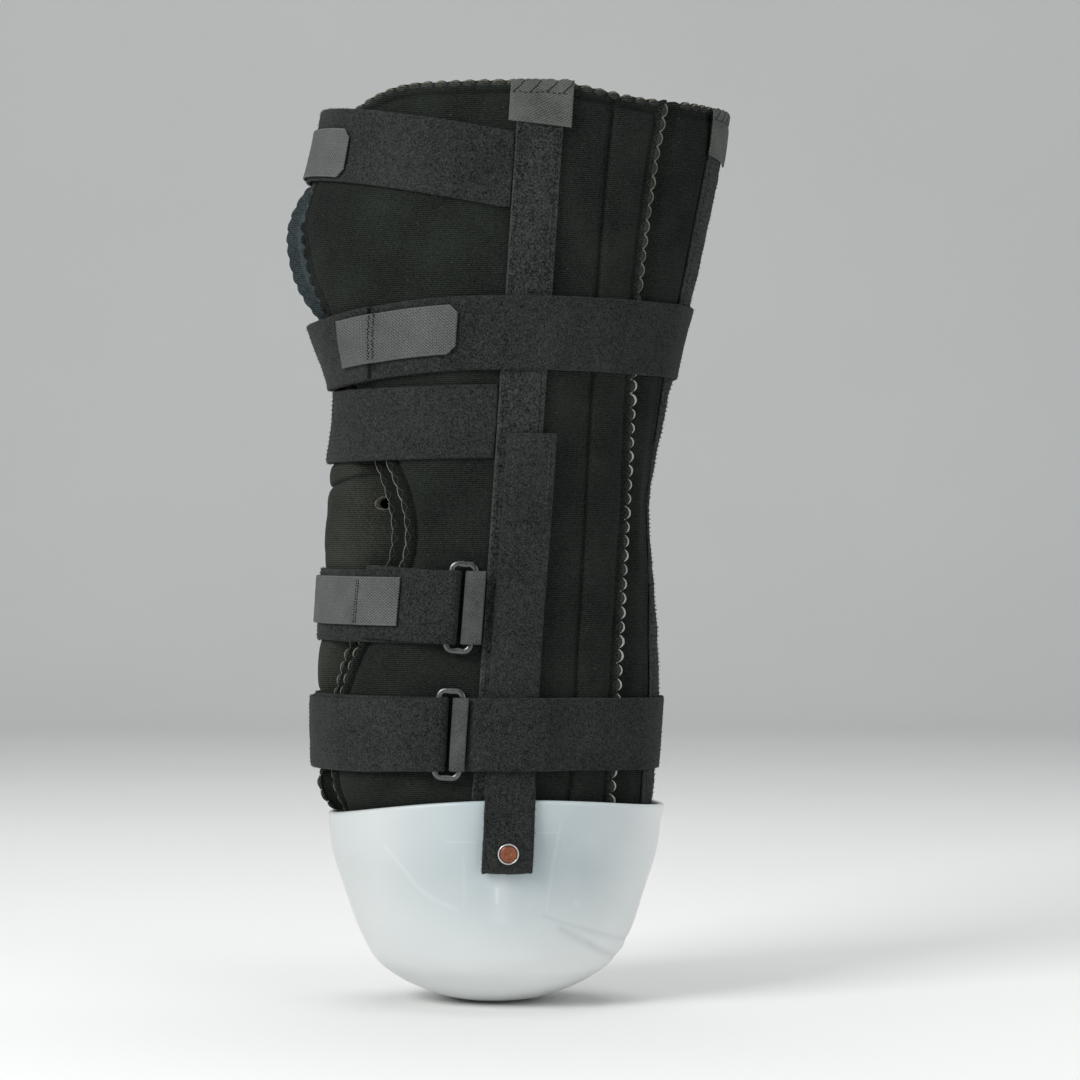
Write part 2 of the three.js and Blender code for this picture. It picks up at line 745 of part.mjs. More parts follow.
// A strap that comes to a ring, turns round its bar and runs back over itself to its end.
function ringStrap(name, girth, { start, ring, heading, end, tapes = [] }) {
  const middle = ring - heading * (BAR_SPREAD - TURN_SHIFT);
  const low = (length) => TAPE_GAP + STRAP / 2 + pushed(length, tapes);
  const high = (length) => {
    const fall = ease((Math.abs(length - middle) - RING_BAR - 2) / FOLD_FALL);
    return mix(2 * RING_LIFT - TAPE_GAP - STRAP / 2, low(length) + DOUBLED, fall);
  };
  const path = [
    ...sweep(start, middle, low).slice(0, -1),
    ...barTurn(middle, heading, TAPE_GAP + STRAP / 2),
    ...sweep(middle, end, high).slice(1),
  ];
  return band(path, STRAP, () => STRAP_WIDTH, strapChart(name, girth));
}

// The short loop that ties a ring to the wrap: out under the bar, round it and back.
function ringChape(name, girth, { ring, heading, reach }) {
  const middle = ring + heading * (BAR_SPREAD - TURN_SHIFT);
  const end = ring + heading * reach;
  const low = TAPE_GAP + CHAPE / 2;
  const high = (length) => {
    const fall = ease((Math.abs(length - middle) - RING_BAR - 1) / CHAPE_FALL);
    return mix(2 * RING_LIFT - low, low + CHAPE + FOLD_GAP, fall);
  };
  const path = [
    ...sweep(end, middle, () => low).slice(0, -1),
    ...barTurn(middle, -heading, low),
    ...sweep(middle, end, high).slice(1),
  ];
  return band(path, CHAPE, () => STRAP_WIDTH, strapChart(name, girth));
}

function roundedOblong(shape, width, height, corner) {
  const x = width / 2 - corner;
  const y = height / 2 - corner;
  shape.absarc(x, y, corner, 0, Math.PI / 2);
  shape.absarc(-x, y, corner, Math.PI / 2, Math.PI);
  shape.absarc(-x, -y, corner, Math.PI, 1.5 * Math.PI);
  shape.absarc(x, -y, corner, 1.5 * Math.PI, 2 * Math.PI);
  return shape;
}

function ringSolid(name, girth, ring) {
  const outline = roundedOblong(new THREE.Shape(), RING_WIDTH, RING_HEIGHT, RING_CORNER);
  const inside = [RING_WIDTH - 2 * RING_BAR, RING_HEIGHT - 2 * RING_BAR, RING_CORNER - RING_BAR];
  outline.holes.push(roundedOblong(new THREE.Path(), ...inside));
  const geometry = new THREE.ExtrudeGeometry(outline, {
    depth: RING_THICK,
    bevelEnabled: false,
    curveSegments: 2,
  });
  geometry.translate(0, 0, -RING_THICK / 2);
  const chart = strapChart(name, girth);
  const out = new THREE.Vector3();
  const along = chart(ring + 3, RING_LIFT, 0).sub(chart(ring - 3, RING_LIFT, 0)).normalize();
  const top = chart(ring, RING_LIFT, STRAP_WIDTH / 2);
  const foot = chart(ring, RING_LIFT, -STRAP_WIDTH / 2);
  const up = new THREE.Vector3().subVectors(top, foot).normalize();
  out.crossVectors(along, up).normalize();
  along.crossVectors(up, out);
  geometry.applyMatrix4(new THREE.Matrix4().makeBasis(along, up, out));
  const spot = top.add(foot).multiplyScalar(0.5);
  geometry.translate(spot.x, spot.y, spot.z);
  return geometry;
}

// A hook tab sewn on the doubled end of a strap: it steps down past that end to its own clipped tip.
function hookTab(name, girth, { start, fold, end, rise }) {
  const top = TAPE_GAP + STRAP + TAB_GAP + HOOK_TAB / 2;
  const onward = Math.sign(end - start);
  const path = sweep(start, fold + onward, () => top + DOUBLED);
  path.push(...sweep(fold + 6 * onward, end, () => top));
  const tip = path.at(-1).clone();
  path.splice(-1, 1, new THREE.Vector2(tip.x - onward * HOOK_TAB_CLIP, tip.y), tip);
  const widthAt = (row) => HOOK_TAB_WIDTH - (row === path.length - 1 ? 2 * HOOK_TAB_CLIP : 0);
  return band(path, HOOK_TAB, widthAt, strapChart(name, girth, rise));
}

const parts = {};

for (const [name, side] of [["lateral", LATERAL], ["medial", MEDIAL]]) {
  parts[`${name}_panel`] = sidePanel(side);
  parts[`${name}_facing`] = facing(side);
  parts[`${name}_stay_strip`] = stayStrip(stayAngle, side, 449, 2);
  parts[`${name}_pocket_tab`] = pocketTab(stayAngle, side, WRAP_TOP - 3, 19, 2);
  parts[`${name}_suspension_strap`] = cut(suspensionStrap(side), rivetPunch(side));
  parts[`${name}_rivet`] = rivet(side);
  parts[`${name}_rivet_washer`] = rivetWasher(side);
}
parts.posterior_panel = rearPanel();
parts.posterior_stay_strip = stayStrip(rearAngle, LATERAL, 443, 4);
parts.posterior_pocket_tab = pocketTab(rearAngle, LATERAL, WRAP_TOP - REAR_DROP - 1, 25, 4);
parts.knee_tongue = tongue();
parts.end_cup = cut(cut(cup(), rivetPunch(LATERAL)), rivetPunch(MEDIAL));

// Straps that start at a stay strip, pass the front and double back through a ring.
const girths = {};
for (const name of Object.keys(HEIGHTS)) {
  girths[name] = new Girth(HEIGHTS[name].side);
}

const stayFront = (girth) => girth.near(column(TAPES, "stay", girth.z)) - TAPE_WIDTH / 2 - 0.6;
const farStayFront = (girth) => -girth.round / 2 - stayFront(girth);

function addRinged(name, shape, tab, chapeReach) {
  const girth = girths[name];
  parts[`${name}_strap`] = ringStrap(name, girth, shape);
  parts[`${name}_ring`] = ringSolid(name, girth, shape.ring);
  parts[`${name}_chape`] = ringChape(name, girth, { ...shape, reach: chapeReach });
  parts[`${name}_hook_tab`] = hookTab(name, girth, { ...tab, fold: shape.end });
}

{
  const girth = girths.thigh_upper;
  const ring = farStayFront(girth) + 17;
  const end = girth.farFront(-74);
  const shape = { start: stayFront(girth), ring, heading: -1, end };
  addRinged("thigh_upper", shape, { start: end - 16, end: girth.near(-73), rise: -4 }, 17);
}
{
  const girth = girths.thigh_lower;
  const ring = farStayFront(girth) + 17.5;
  const start = ring + girth.round - 17.8;
  const shape = { start, ring, heading: -1, end: girth.near(-61), tapes: tapesUnder(girth, false) };
  addRinged("thigh_lower", shape, { start: girth.near(-74), end: girth.near(-17.3), rise: 2 }, 17);
}
{
  const girth = girths.knee;
  const ring = farStayFront(girth) + 34;
  const shape = { start: stayFront(girth), ring, heading: -1, end: ring + 48 };
  addRinged("knee", shape, { start: ring + 34, end: ring + 66, rise: 0 }, 34);
}
{
  const girth = girths.calf_upper;
  const ring = girth.near(-15.2);
  const shape = { start: farStayFront(girth), ring, heading: 1, end: girth.near(-62) };
  const tab = { start: girth.near(-44.5), end: girth.farFront(-74), rise: 2.5 };
  addRinged("calf_upper", shape, tab, stayFront(girth) - ring);
}
{
  const girth = girths.calf_lower;
  const ring = girth.near(-21);
  const start = ring - girth.round + 9.2;
  const end = girth.farFront(-52);
  const turnBack = (tape) => ({ ...tape, middle: tape.middle - girth.round });
  const shape = { start, ring, heading: 1, end, tapes: tapesUnder(girth, true).map(turnBack) };
  addRinged("calf_lower", shape, { start: end + 16, end: girth.farFront(-20), rise: 0 }, 8.7);
}

// Photo colours of the pieces by the last word of their names
const FINISHES = {
  panel: { color: 0x272b28, roughness: 0.9, metalness: 0 },
  facing: { color: 0x3c4345, roughness: 0.9, metalness: 0 },
  tongue: { color: 0x353734, roughness: 0.9, metalness: 0 },
  strip: { color: 0x2e302f, roughness: 1, metalness: 0 },
  strap: { color: 0x2d2f2e, roughness: 1, metalness: 0 },
  tab: { color: 0x5c5e5d, roughness: 0.9, metalness: 0 },
  chape: { color: 0x3e403f, roughness: 0.8, metalness: 0 },
  ring: { color: 0x4a4c4a, roughness: 0.35, metalness: 1 },
  rivet: { color: 0xb07a58, roughness: 0.35, metalness: 1 },
  washer: { color: 0xb4b6b4, roughness: 0.3, metalness: 1 },
  cup: { color: 0xd2d8d8, roughness: 0.35, metalness: 0 },
};

const protector = new THREE.Group();
protector.name = "limb_protector";
for (const [name, geometry] of Object.entries(parts)) {
  const finish = FINISHES[name.split("_").at(-1)];
  const mesh = new THREE.Mesh(geometry, new THREE.MeshStandardMaterial(finish));
  mesh.name = name;
  protector.add(mesh);
}

export default protector;
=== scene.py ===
"""Dresses the limb protector: knit wrap with sewn edges, brushed straps, wire rings, milky end cup.

Sizes are in millimetres until a mesh is made. +Z is up the limb, the front of the limb faces -X and
its outer side faces -Y. The origin is the middle of the cup's inside floor.
"""
import math

import bpy
import numpy as np
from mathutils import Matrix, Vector
from mathutils.kdtree import KDTree


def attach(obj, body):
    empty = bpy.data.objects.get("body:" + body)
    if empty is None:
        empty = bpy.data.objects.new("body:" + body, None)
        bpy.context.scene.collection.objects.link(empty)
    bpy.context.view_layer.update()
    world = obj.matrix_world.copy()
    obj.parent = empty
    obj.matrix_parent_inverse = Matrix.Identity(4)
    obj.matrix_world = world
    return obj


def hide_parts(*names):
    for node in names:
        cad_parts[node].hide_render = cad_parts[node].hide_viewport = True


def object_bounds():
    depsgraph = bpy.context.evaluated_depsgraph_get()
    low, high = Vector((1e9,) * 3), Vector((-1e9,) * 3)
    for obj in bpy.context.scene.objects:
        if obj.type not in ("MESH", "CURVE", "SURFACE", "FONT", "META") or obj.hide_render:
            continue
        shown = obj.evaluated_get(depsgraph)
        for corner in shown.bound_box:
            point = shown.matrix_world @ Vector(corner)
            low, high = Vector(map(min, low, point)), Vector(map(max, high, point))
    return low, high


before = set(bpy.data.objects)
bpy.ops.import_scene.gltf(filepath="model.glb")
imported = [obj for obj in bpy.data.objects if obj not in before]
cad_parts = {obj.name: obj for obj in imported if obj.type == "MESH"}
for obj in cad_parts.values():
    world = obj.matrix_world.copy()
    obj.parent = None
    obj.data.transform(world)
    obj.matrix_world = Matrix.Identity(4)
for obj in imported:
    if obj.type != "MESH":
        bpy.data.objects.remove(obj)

cad_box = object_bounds()
MM = 0.001
BODY = "root"

# Thicknesses and gaps of the layers
PADDING = 4
FACING = 2
TAPE = 1.8
STRAP = 2
CHAPE = 1.4
HOOK_TAB = 1.2
POCKET_TAB = 1.2
CUP_WALL = 3
LAYER_GAP = 0.9
TAPE_GAP = 0.5
FOLD_GAP = 0.4
RING_GAP = 0.8
TAB_GAP = 0.9
DOUBLED = STRAP + FOLD_GAP

# Widths, heights and edges
STRAP_WIDTH = 36
TAPE_WIDTH = 23
SUSPENSION_WIDTH = 25
HOOK_TAB_WIDTH = 24
HOOK_TAB_CLIP = 4
POCKET_TAB_WIDTH = 31
WRAP_FOOT = 52
WRAP_TOP = 454.4
REAR_DROP = 7.4
DROP_START = 0.05
DROP_SPREAD = 0.65
CORNER_START = 395
CORNER_X = -36
CORNER_REACH = 60
STAY_LEAN = 0.068
LEAN_SPAN = 9
STAY_FOOT = 88
STAY_TOP = 449
REAR_STAY_TOP = 443
STAY_CLEAR = 0.25
SIDE_TAB_LENGTH = 21.4
SIDE_TAB_DROP = 0.6
REAR_TAB_LENGTH = 25
REAR_TAB_DROP = 1
REAR_LAP = 12
LAP_RISE = 12
FACING_SHOWN = 9
FACING_CLEAR = 1
FACING_LIFT = 2
FACING_TOP = 410
LIP_START = 300
LIP_RAMP = 40
TONGUE_LAP = 14
TONGUE_RISE = 16
TONGUE_FOOT = 64
TONGUE_TOP = 425
TONGUE_OPEN_LOW = 130
TONGUE_OPEN_HIGH = 318
CREASE_HEIGHT = 260
CREASE_DEPTH = 3.2
CREASE_WIDTH = 0.75
CREASE_FINE = 8
CREASE_TILT = 9
CREASE_LEVEL_ANGLE = -1.2
TONGUE_GIRTH = 110
HOLE_X = -58
HOLE_HEIGHT = 249
HOLE_RADIUS = 3
HOLE_SIDES = 32
HOLE_LINING_DEPTHS = (0.2, 1.2, 2.4, 3.6)
HOLE_RIM_SPREAD = 1.08
HOLE_RIM_RADIUS = 0.2
HOLE_RIM_FRAY = 0.12
PUNCH_REACH = 14
SEAM_GROOVE = 2.3
SEAM_WIDTH = 1.3
EDGE_BAND = 6.5
LOBE = 7.2
PANEL_LOBE = 2.0
FRONT_LOBE = 0.8
LIP_LOBE = 1.3
KNEE_LOBE = 0.8

# Ring, rivet and cup
RING_WIDTH = 15.2
RING_HEIGHT = 46
RING_CORNER = 5
RING_BAR = 3.4
RING_THICK = 3
TURN_SHIFT = 0.7
FOLD_FALL = 22
CHAPE_FALL = 9
RIVET_HEIGHT = 77.8
RIVET_X = 6.3
CUP_FLAT = 0.83
RIM_MIDDLE = 98
RIM_SIDE_RISE = 4
RIM_BACK_RISE = 2
RIM_BLEND = 60
SUSPENSION_TOP = 283
SUSPENSION_FOOT = 69.5
UNDERFOLD_TOP = 84
UNDERFOLD_CLEAR = 14
UNDERFOLD_RAMP = 12
RIM_REST = 103
RIM_RAMP = 12.5

# Fineness of the meshes
ROW_STEP = 1.7
FACING_STEP = 1.0
STRAP_STEP = 2.2
TAB_STEP = 1.3
PATH_STEP = 0.6
TURN_STEPS = 28
GIRTH_STEPS = 240
LATERAL = -1
MEDIAL = 1


def mix(start, end, share):
    return start + (end - start) * share


def ease(value):
    value = np.clip(value, 0, 1)
    return value * value * (3 - 2 * value)


def bell(value, width):
    return np.exp(-((value / width) ** 2))


class Table:
    """Rows that climb in their first column, read smoothly in between."""

    def __init__(self, names, *rows):
        self.names = names.split()
        self.rows = np.array(rows, float)

    def __call__(self, name, z):
        heights = self.rows[:, 0]
        values = self.rows[:, self.names.index(name)]
        last = len(heights) - 1
        above = np.minimum(np.arange(last + 1) + 1, last)
        below = np.maximum(np.arange(last + 1) - 1, 0)
        slopes = (values[above] - values[below]) / (heights[above] - heights[below])
        z = np.clip(z, heights[0], heights[last])
        row = np.clip(np.searchsorted(heights, z) - 1, 0, last - 1)
        span = heights[row + 1] - heights[row]
        t = (z - heights[row]) / span
        rise = values[row + 1] - values[row]
        bend = slopes[row] * span - rise
        bend_next = rise - slopes[row + 1] * span
        return values[row] + t * rise + t * (1 - t) * (bend * (1 - t) + bend_next * t)


# Outer skin of the wrap: reach to the front and to the back, half depth
WRAP = Table(
    "z front back depth",
    (52, -66, 67, 54),
    (80, -75, 74, 58.5),
    (96, -80.5, 77, 61),
    (104, -86, 78, 62),
    (114, -88.5, 78.5, 62.5),
    (155, -89, 81, 63),
    (198, -87, 79, 61),
    (246, -84, 76, 60.5),
    (271, -83, 79, 62),
    (290, -80.5, 83, 64),
    (309, -80.5, 87, 66.5),
    (332, -88.6, 92, 70),
    (358, -97, 99, 74),
    (386, -100, 105.5, 77.5),
    (413, -93, 111, 79.5),
    (431, -88.5, 114, 80),
    (460, -84, 116, 80),
)

# Front edge of a side panel below its round corner, cut back at the knee
FRONT_EDGE = Table(
    "z x",
    (52, -58),
    (93, -75.5),
    (111, -82),
    (140, -80.5),
    (160, -76),
    (180, -68),
    (200, -56),
    (219, -46.5),
    (233, -44),
    (250, -46.5),
    (272, -55.5),
    (290, -66.5),
    (309, -75),
    (345, -86),
    (362, -92),
    (386, -96.2),
    (395, -96),
)

# Stay seam and rear edge of a side panel
REAR_EDGES = Table(
    "z seam rear",
    (52, 34, 57),
    (108, 38, 60.5),
    (172, 42, 64),
    (240, 45.5, 67.6),
    (363, 52, 74.5),
    (454.4, 60, 87),
)

# Middles of the tapes: the side ones in X, the rear one in degrees round from the side
TAPES = Table(
    "z stay suspension rear",
    (67, -2, 5.9, 80),
    (113, 1.5, 7.8, 80),
    (180, 6, 11.2, 84),
    (246, 10.4, 16.2, 97),
    (309, 14.6, 20, 84),
    (386, 19.7, 25, 77),
    (460, 24.6, 30, 77),
)

# Outside of the cup from rim to bottom: reach and height
CUP = np.array(
    [
        (84.6, 98),
        (82, 76),
        (74.5, 50),
        (69, 34),
        (61.5, 20),
        (52.5, 12),
        (39.6, 5),
        (21, -1),
        (0, -3),
    ]
)

# Straps: height at the sides, front and back, and how the middle line bends towards the front
HEIGHTS = {
    "thigh_upper": (410.5, 429.5, 410.5, 1),
    "thigh_lower": (332, 322.5, 330, 2),
    "knee": (289, 287.5, 289, 1),
    "calf_upper": (197.5, 198.5, 197.5, 1),
    "calf_lower": (135.5, 136, 133.5, 1),
}

# Where a facing's free edge curls out between straps, and where the tongue puffs out: low, high, out
LIPS = ((92, 117, 7), (342, 410, 9.5))
PUFFS = ((155, 180, 2), (217, 268, 2.4))
BULGE_POWER = 0.3

# Ripples of the tongue under its crease: height, share of the crease's tilt, depth, width
RIPPLES = ((238, 2, 0.5, 5), (226, -1, 0.45, 3.5))


def bulge(places, z):
    out = 0
    for low, high, reach in places:
        share = np.clip((z - low) / (high - low), 0, 1)
        out = out + reach * np.sin(np.pi * share).clip(0) ** BULGE_POWER
    return out


def section(z):
    front = WRAP("front", z)
    back = WRAP("back", z)
    return (front + back) / 2, (back - front) / 2, WRAP("depth", z)


def skin(z, angle, lift):
    """Points of the wrap's skin, pushed out by lift. Angle 0 is the outer side, a quarter turn the back."""
    z, angle, lift = np.broadcast_arrays(*(np.asarray(v, float) for v in (z, angle, lift)))
    middle, half, depth = section(z)
    out_x = np.sin(angle) / half
    out_y = -np.cos(angle) / depth
    size = np.hypot(out_x, out_y)
    x = middle + half * np.sin(angle) + lift * out_x / size
    y = -depth * np.cos(angle) + lift * out_y / size
    return np.stack([x, y, z], -1)


def angle_at(z, x):
    middle, half, _ = section(z)
    return np.arcsin(np.clip((x - middle) / half, -1, 1))


def pace(z, angle, lift=0):
    """Millimetres round the wrap for each radian."""
    _, half, depth = section(z)
    on_skin = np.hypot(half * np.cos(angle), depth * np.sin(angle))
    return on_skin + lift * half * depth / on_skin**2


class Girth:
    """Lengths round the wrap at one height, from the outer side towards the back."""

    def __init__(self, z):
        self.z = z
        climb = section(z + LEAN_SPAN)[0] - section(z - LEAN_SPAN)[0]
        self.lean = STAY_LEAN - climb / (2 * LEAN_SPAN)
        self.turns = np.linspace(0, 2 * np.pi, GIRTH_STEPS + 1)
        steps = np.diff(skin(z, self.turns, 0), axis=0)
        self.lengths = np.concatenate([[0], np.cumsum(np.linalg.norm(steps, axis=1))])
        self.round = self.lengths[-1]

    def angle(self, length):
        laps = np.floor(length / self.round)
        return np.interp(length - laps * self.round, self.lengths, self.turns) + laps * 2 * np.pi

    def length(self, angle):
        laps = np.floor(angle / (2 * np.pi))
        return np.interp(angle - laps * 2 * np.pi, self.turns, self.lengths) + laps * self.round

    def near(self, x):
        return self.length(angle_at(self.z, x))

    def far_front(self, x):
        return -self.round / 2 - self.near(x)

    def far_back(self, x):
        return self.round / 2 - self.near(x)


def mirrored(points, side):
    return points * (1, 1 if side == LATERAL else -1, 1)


# Meshes
EDGE_SHARES = np.array([0, 0.04, 0.18, 0.42, 0.72, 1.0])
LEAST_THICKNESS = 0.03


def rounding(distance, radius):
    """Share of full thickness at a distance from a rounded edge."""
    near = np.clip(distance / radius, 0, 1)
    return np.sqrt(np.clip(1 - (1 - near) ** 2, 0, 1)).clip(LEAST_THICKNESS)


def stations(length, step, edge):
    """Places along a length, closer together in its two rounded ends."""
    near = edge * EDGE_SHARES
    count = max(2, round((length - 2 * edge) / step))
    middle = np.linspace(edge, length - edge, count + 1)
    return np.concatenate([near[:-1], middle, length - near[-2::-1]])


def mottle(shape, softness, seed):
    """A field of chance bumps, one unit high, softened over its neighbours."""
    field = np.random.default_rng(seed).normal(size=shape)
    for _ in range(softness):
        for axis in (0, 1):
            field = (2 * field + np.roll(field, 1, axis) + np.roll(field, -1, axis)) / 4
    return field / field.std()


def make_piece(name, points, faces, finish, slot, lay=None):
    """A smooth mesh that rides on the body. lay holds each point's place along and across the cloth."""
    faces = np.asarray(faces)
    points = np.asarray(points, float)
    corners = points[faces[:, :3]]
    volume = np.einsum("ij,ij->i", corners[:, 0], np.cross(corners[:, 1], corners[:, 2])).sum()
    if volume < 0:
        faces = faces[:, ::-1]
    mesh = bpy.data.meshes.new(name)
    mesh.from_pydata((points * MM).tolist(), [], faces.tolist())
    mesh.shade_smooth()
    if lay is not None:
        layer = mesh.uv_layers.new(name="lay")
        layer.data.foreach_set("uv", np.asarray(lay, np.float32)[faces.ravel()].ravel())
    mesh.materials.append(finish)
    piece = bpy.data.objects.new(name, mesh)
    bpy.context.scene.collection.objects.link(piece)
    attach(piece, BODY)
    return piece


def grid_faces(rows, columns, closed=False):
    """Quads of a grid; closed joins its last column to its first."""
    row = np.arange(rows - 1)[:, None]
    column = np.arange(columns if closed else columns - 1)[None, :]
    after = (column + 1) % columns
    quad = [row * columns + column, row * columns + after]
    quad += [(row + 1) * columns + after, (row + 1) * columns + column]
    return np.stack([q + np.zeros_like(row) for q in quad], -1).reshape(-1, 4)


def slab(name, outer, inner, finish, slot, lay):
    """A closed sheet between two grids of points."""
    rows, columns = outer.shape[:2]
    size = rows * columns
    points = np.concatenate([outer.reshape(-1, 3), inner.reshape(-1, 3)])
    index = np.arange(size).reshape(rows, columns)
    border = np.concatenate([index[0, :-1], index[:-1, -1], index[-1, :0:-1], index[:0:-1, 0]])
    after = np.roll(border, -1)
    rim = np.stack([after, border, border + size, after + size], -1)
    top = grid_faces(rows, columns)
    faces = np.concatenate([top, top[:, ::-1] + size, rim])
    lay = np.concatenate([lay.reshape(-1, 2)] * 2)
    return make_piece(f"{name}_cloth", points, faces, finish, slot, lay)


def unit(vectors):
    return vectors / np.linalg.norm(vectors, axis=-1, keepdims=True).clip(1e-9)


def tubes(name, lines, normals, radii, finish, slot, sides=6, lay=None):
    """Many thin tubes as one piece: lines is tubes by points by 3, with a normal at each point."""
    count, length = lines.shape[:2]
    along = unit(np.gradient(lines, axis=1))
    across = unit(np.cross(along, normals))
    up = np.cross(across, along)
    turn = np.linspace(0, 2 * np.pi, sides, endpoint=False)
    ring = across[:, :, None] * np.cos(turn)[:, None] + up[:, :, None] * np.sin(turn)[:, None]
    radii = np.broadcast_to(radii, (count, length))
    points = lines[:, :, None] + ring * radii[:, :, None, None]
    one = grid_faces(length, sides, closed=True)
    faces = (one[None] + np.arange(count)[:, None, None] * length * sides).reshape(-1, 4)
    if lay:
        lay = np.tile(lay, (points.size // 3, 1))
    return make_piece(name, points.reshape(-1, 3), faces, finish, slot, lay)


class Face:
    """The surface of a piece, to lay threads on."""

    TRIES = 8

    def __init__(self, piece, keep=None):
        mesh = piece.data
        count = len(mesh.vertices)
        points = np.empty(count * 3)
        normals = np.empty(count * 3)
        mesh.vertices.foreach_get("co", points)
        mesh.vertex_normals.foreach_get("vector", normals)
        keep = np.arange(count) if keep is None else np.flatnonzero(keep)
        self.points = points.reshape(-1, 3)[keep] / MM
        self.normals = normals.reshape(-1, 3)[keep]
        self.tree = KDTree(len(keep))
        for i, point in enumerate(self.points):
            self.tree.insert(point, i)
        self.tree.balance()

    def press(self, points, lift):
        """Points moved on to the surface and out by lift, with the surface's normals there."""
        flat = points.reshape(-1, 3)
        nearest = [self.tree.find(point)[1] for point in flat]
        normals = self.normals[nearest]
        gap = np.einsum("ij,ij->i", self.points[nearest] - flat, normals)
        lifts = np.broadcast_to(lift, points.shape[:-1]).reshape(-1, 1)
        on_face = flat + normals * (gap[:, None] + lifts)
        return on_face.reshape(points.shape), normals.reshape(points.shape)

    def pierce(self, points, way):
        """Where lines that run one way through points meet the surface, with its normals there."""
        for _ in range(self.TRIES):
            nearest = [self.tree.find(point)[1] for point in points]
            normals = self.normals[nearest]
            gap = np.einsum("ij,ij->i", self.points[nearest] - points, normals)
            points = points + way * (gap / np.maximum(normals @ way, 0.2))[:, None]
        return points, normals


def along_line(line, step):
    """A line of points taken again at even steps, and the length at each."""
    run = np.concatenate([[0], np.cumsum(np.linalg.norm(np.diff(line, axis=0), axis=1))])
    keep = np.concatenate([[True], np.diff(run) > 1e-6])
    line, run = line[keep], run[keep]
    at = np.arange(0, run[-1], step)
    return np.stack([np.interp(at, run, line[:, i]) for i in range(3)], -1), at


# Finishes
class Shade:
    """One value of a finish. Maths on it adds the nodes that work it out."""

    def __init__(self, finish, socket):
        self.finish = finish
        self.socket = socket

    def maths(self, operation, *values):
        return self.finish.node("Math", {"operation": operation}, dict(enumerate(values)))

    def __add__(self, other):
        return self.maths("ADD", self, other)

    def __radd__(self, other):
        return self.maths("ADD", other, self)

    def __sub__(self, other):
        return self.maths("SUBTRACT", self, other)

    def __rsub__(self, other):
        return self.maths("SUBTRACT", other, self)

    def __mul__(self, other):
        return self.maths("MULTIPLY", self, other)

    def __rmul__(self, other):
        return self.maths("MULTIPLY", other, self)

    def __truediv__(self, other):
        return self.maths("DIVIDE", self, other)

    def __rtruediv__(self, other):
        return self.maths("DIVIDE", other, self)

    def __pow__(self, other):
        return self.maths("POWER", self, other)

    def __rpow__(self, other):
        return self.maths("POWER", other, self)

    def sine(self):
        return self.maths("SINE", self)

    def size(self):
        return self.maths("ABSOLUTE", self)

    def over(self, limit):
        return self.maths("GREATER_THAN", self, limit)

    def under(self, limit):
        return self.maths("LESS_THAN", self, limit)

    def least(self, other):
        """The smaller of two values."""
        return self.maths("MINIMUM", self, other)

    def most(self, other):
        """The larger of two values."""
        return self.maths("MAXIMUM", self, other)

    def held(self, low, high):
        """The value kept between two limits."""
        return self.most(low).least(high)


class Finish:
    """A material of one shader, built from values."""

    def __init__(self, name, roughness, **constants):
        self.material = bpy.data.materials.new(name)
        self.material.use_nodes = True
        self.tree = self.material.node_tree
        self.shader = self.tree.nodes["Principled BSDF"]
        self.shader.inputs["Roughness"].default_value = roughness
        for socket, value in constants.items():
            self.shader.inputs[socket.replace("_", " ")].default_value = value

    def feed(self, socket, value):
        if isinstance(value, Shade):
            self.tree.links.new(value.socket, socket)
        elif isinstance(value, tuple) and socket.type == "RGBA":
            socket.default_value = (*value, 1)
        else:
            socket.default_value = value

    def node(self, kind, settings=None, sockets=None, out=0):
        made = self.tree.nodes.new(f"ShaderNode{kind}")
        for name, value in (settings or {}).items():
            setattr(made, name, value)
        for name, value in (sockets or {}).items():
            self.feed(made.inputs[name], value)
        return Shade(self, made.outputs[out])

    def place(self):
        """The piece's own coordinates in millimetres, and their three parts."""
        own = self.node("TexCoord", out=3)
        point = self.node("VectorMath", {"operation": "SCALE"}, {0: own, "Scale": 1 / MM})
        return point, [self.node("SeparateXYZ", None, {0: point}, out=i) for i in range(3)]

    def lay(self):
        """Place along and across the cloth in millimetres."""
        own = self.node("UVMap", {"uv_map": "lay"})
        return [self.node("SeparateXYZ", None, {0: own}, out=i) for i in range(2)]

    def noise(self, point, grain, detail=2, roughness=0.5):
        """Chance values from 0 to 1 whose lumps are about grain millimetres across."""
        sockets = {"Vector": point, "Scale": 1 / grain, "Detail": detail, "Roughness": roughness}
        return self.node("TexNoise", None, sockets)

    def blend(self, first, second, share):
        """A mix of two colours, each a value of the finish or steps of a screen from 0 to 255."""
        first, second = (end if isinstance(end, Shade) else tint(end) for end in (first, second))
        return self.node("Mix", {"data_type": "RGBA"}, {0: share, 6: first, 7: second}, out=2)

    def relief(self, height, depth):
        """Bumps of a height from 0 to 1, depth millimetres deep."""
        sockets = {"Height": height, "Strength": 1.0, "Distance": depth * MM}
        bump = self.node("Bump", None, sockets)
        self.feed(self.shader.inputs["Normal"], bump)

    def paint(self, colour, roughness=None):
        self.feed(self.shader.inputs["Base Color"], colour)
        if roughness is not None:
            self.feed(self.shader.inputs["Roughness"], roughness)
        return self.material


def tint(colour):
    """Linear values of a colour given in 0 to 255 steps of a screen."""
    values = [c / 255 for c in colour]
    return tuple(c / 12.92 if c <= 0.04045 else ((c + 0.055) / 1.055) ** 2.4 for c in values)


CLOTH = {"Specular_IOR_Level": 0.04, "Sheen_Roughness": 0.5}

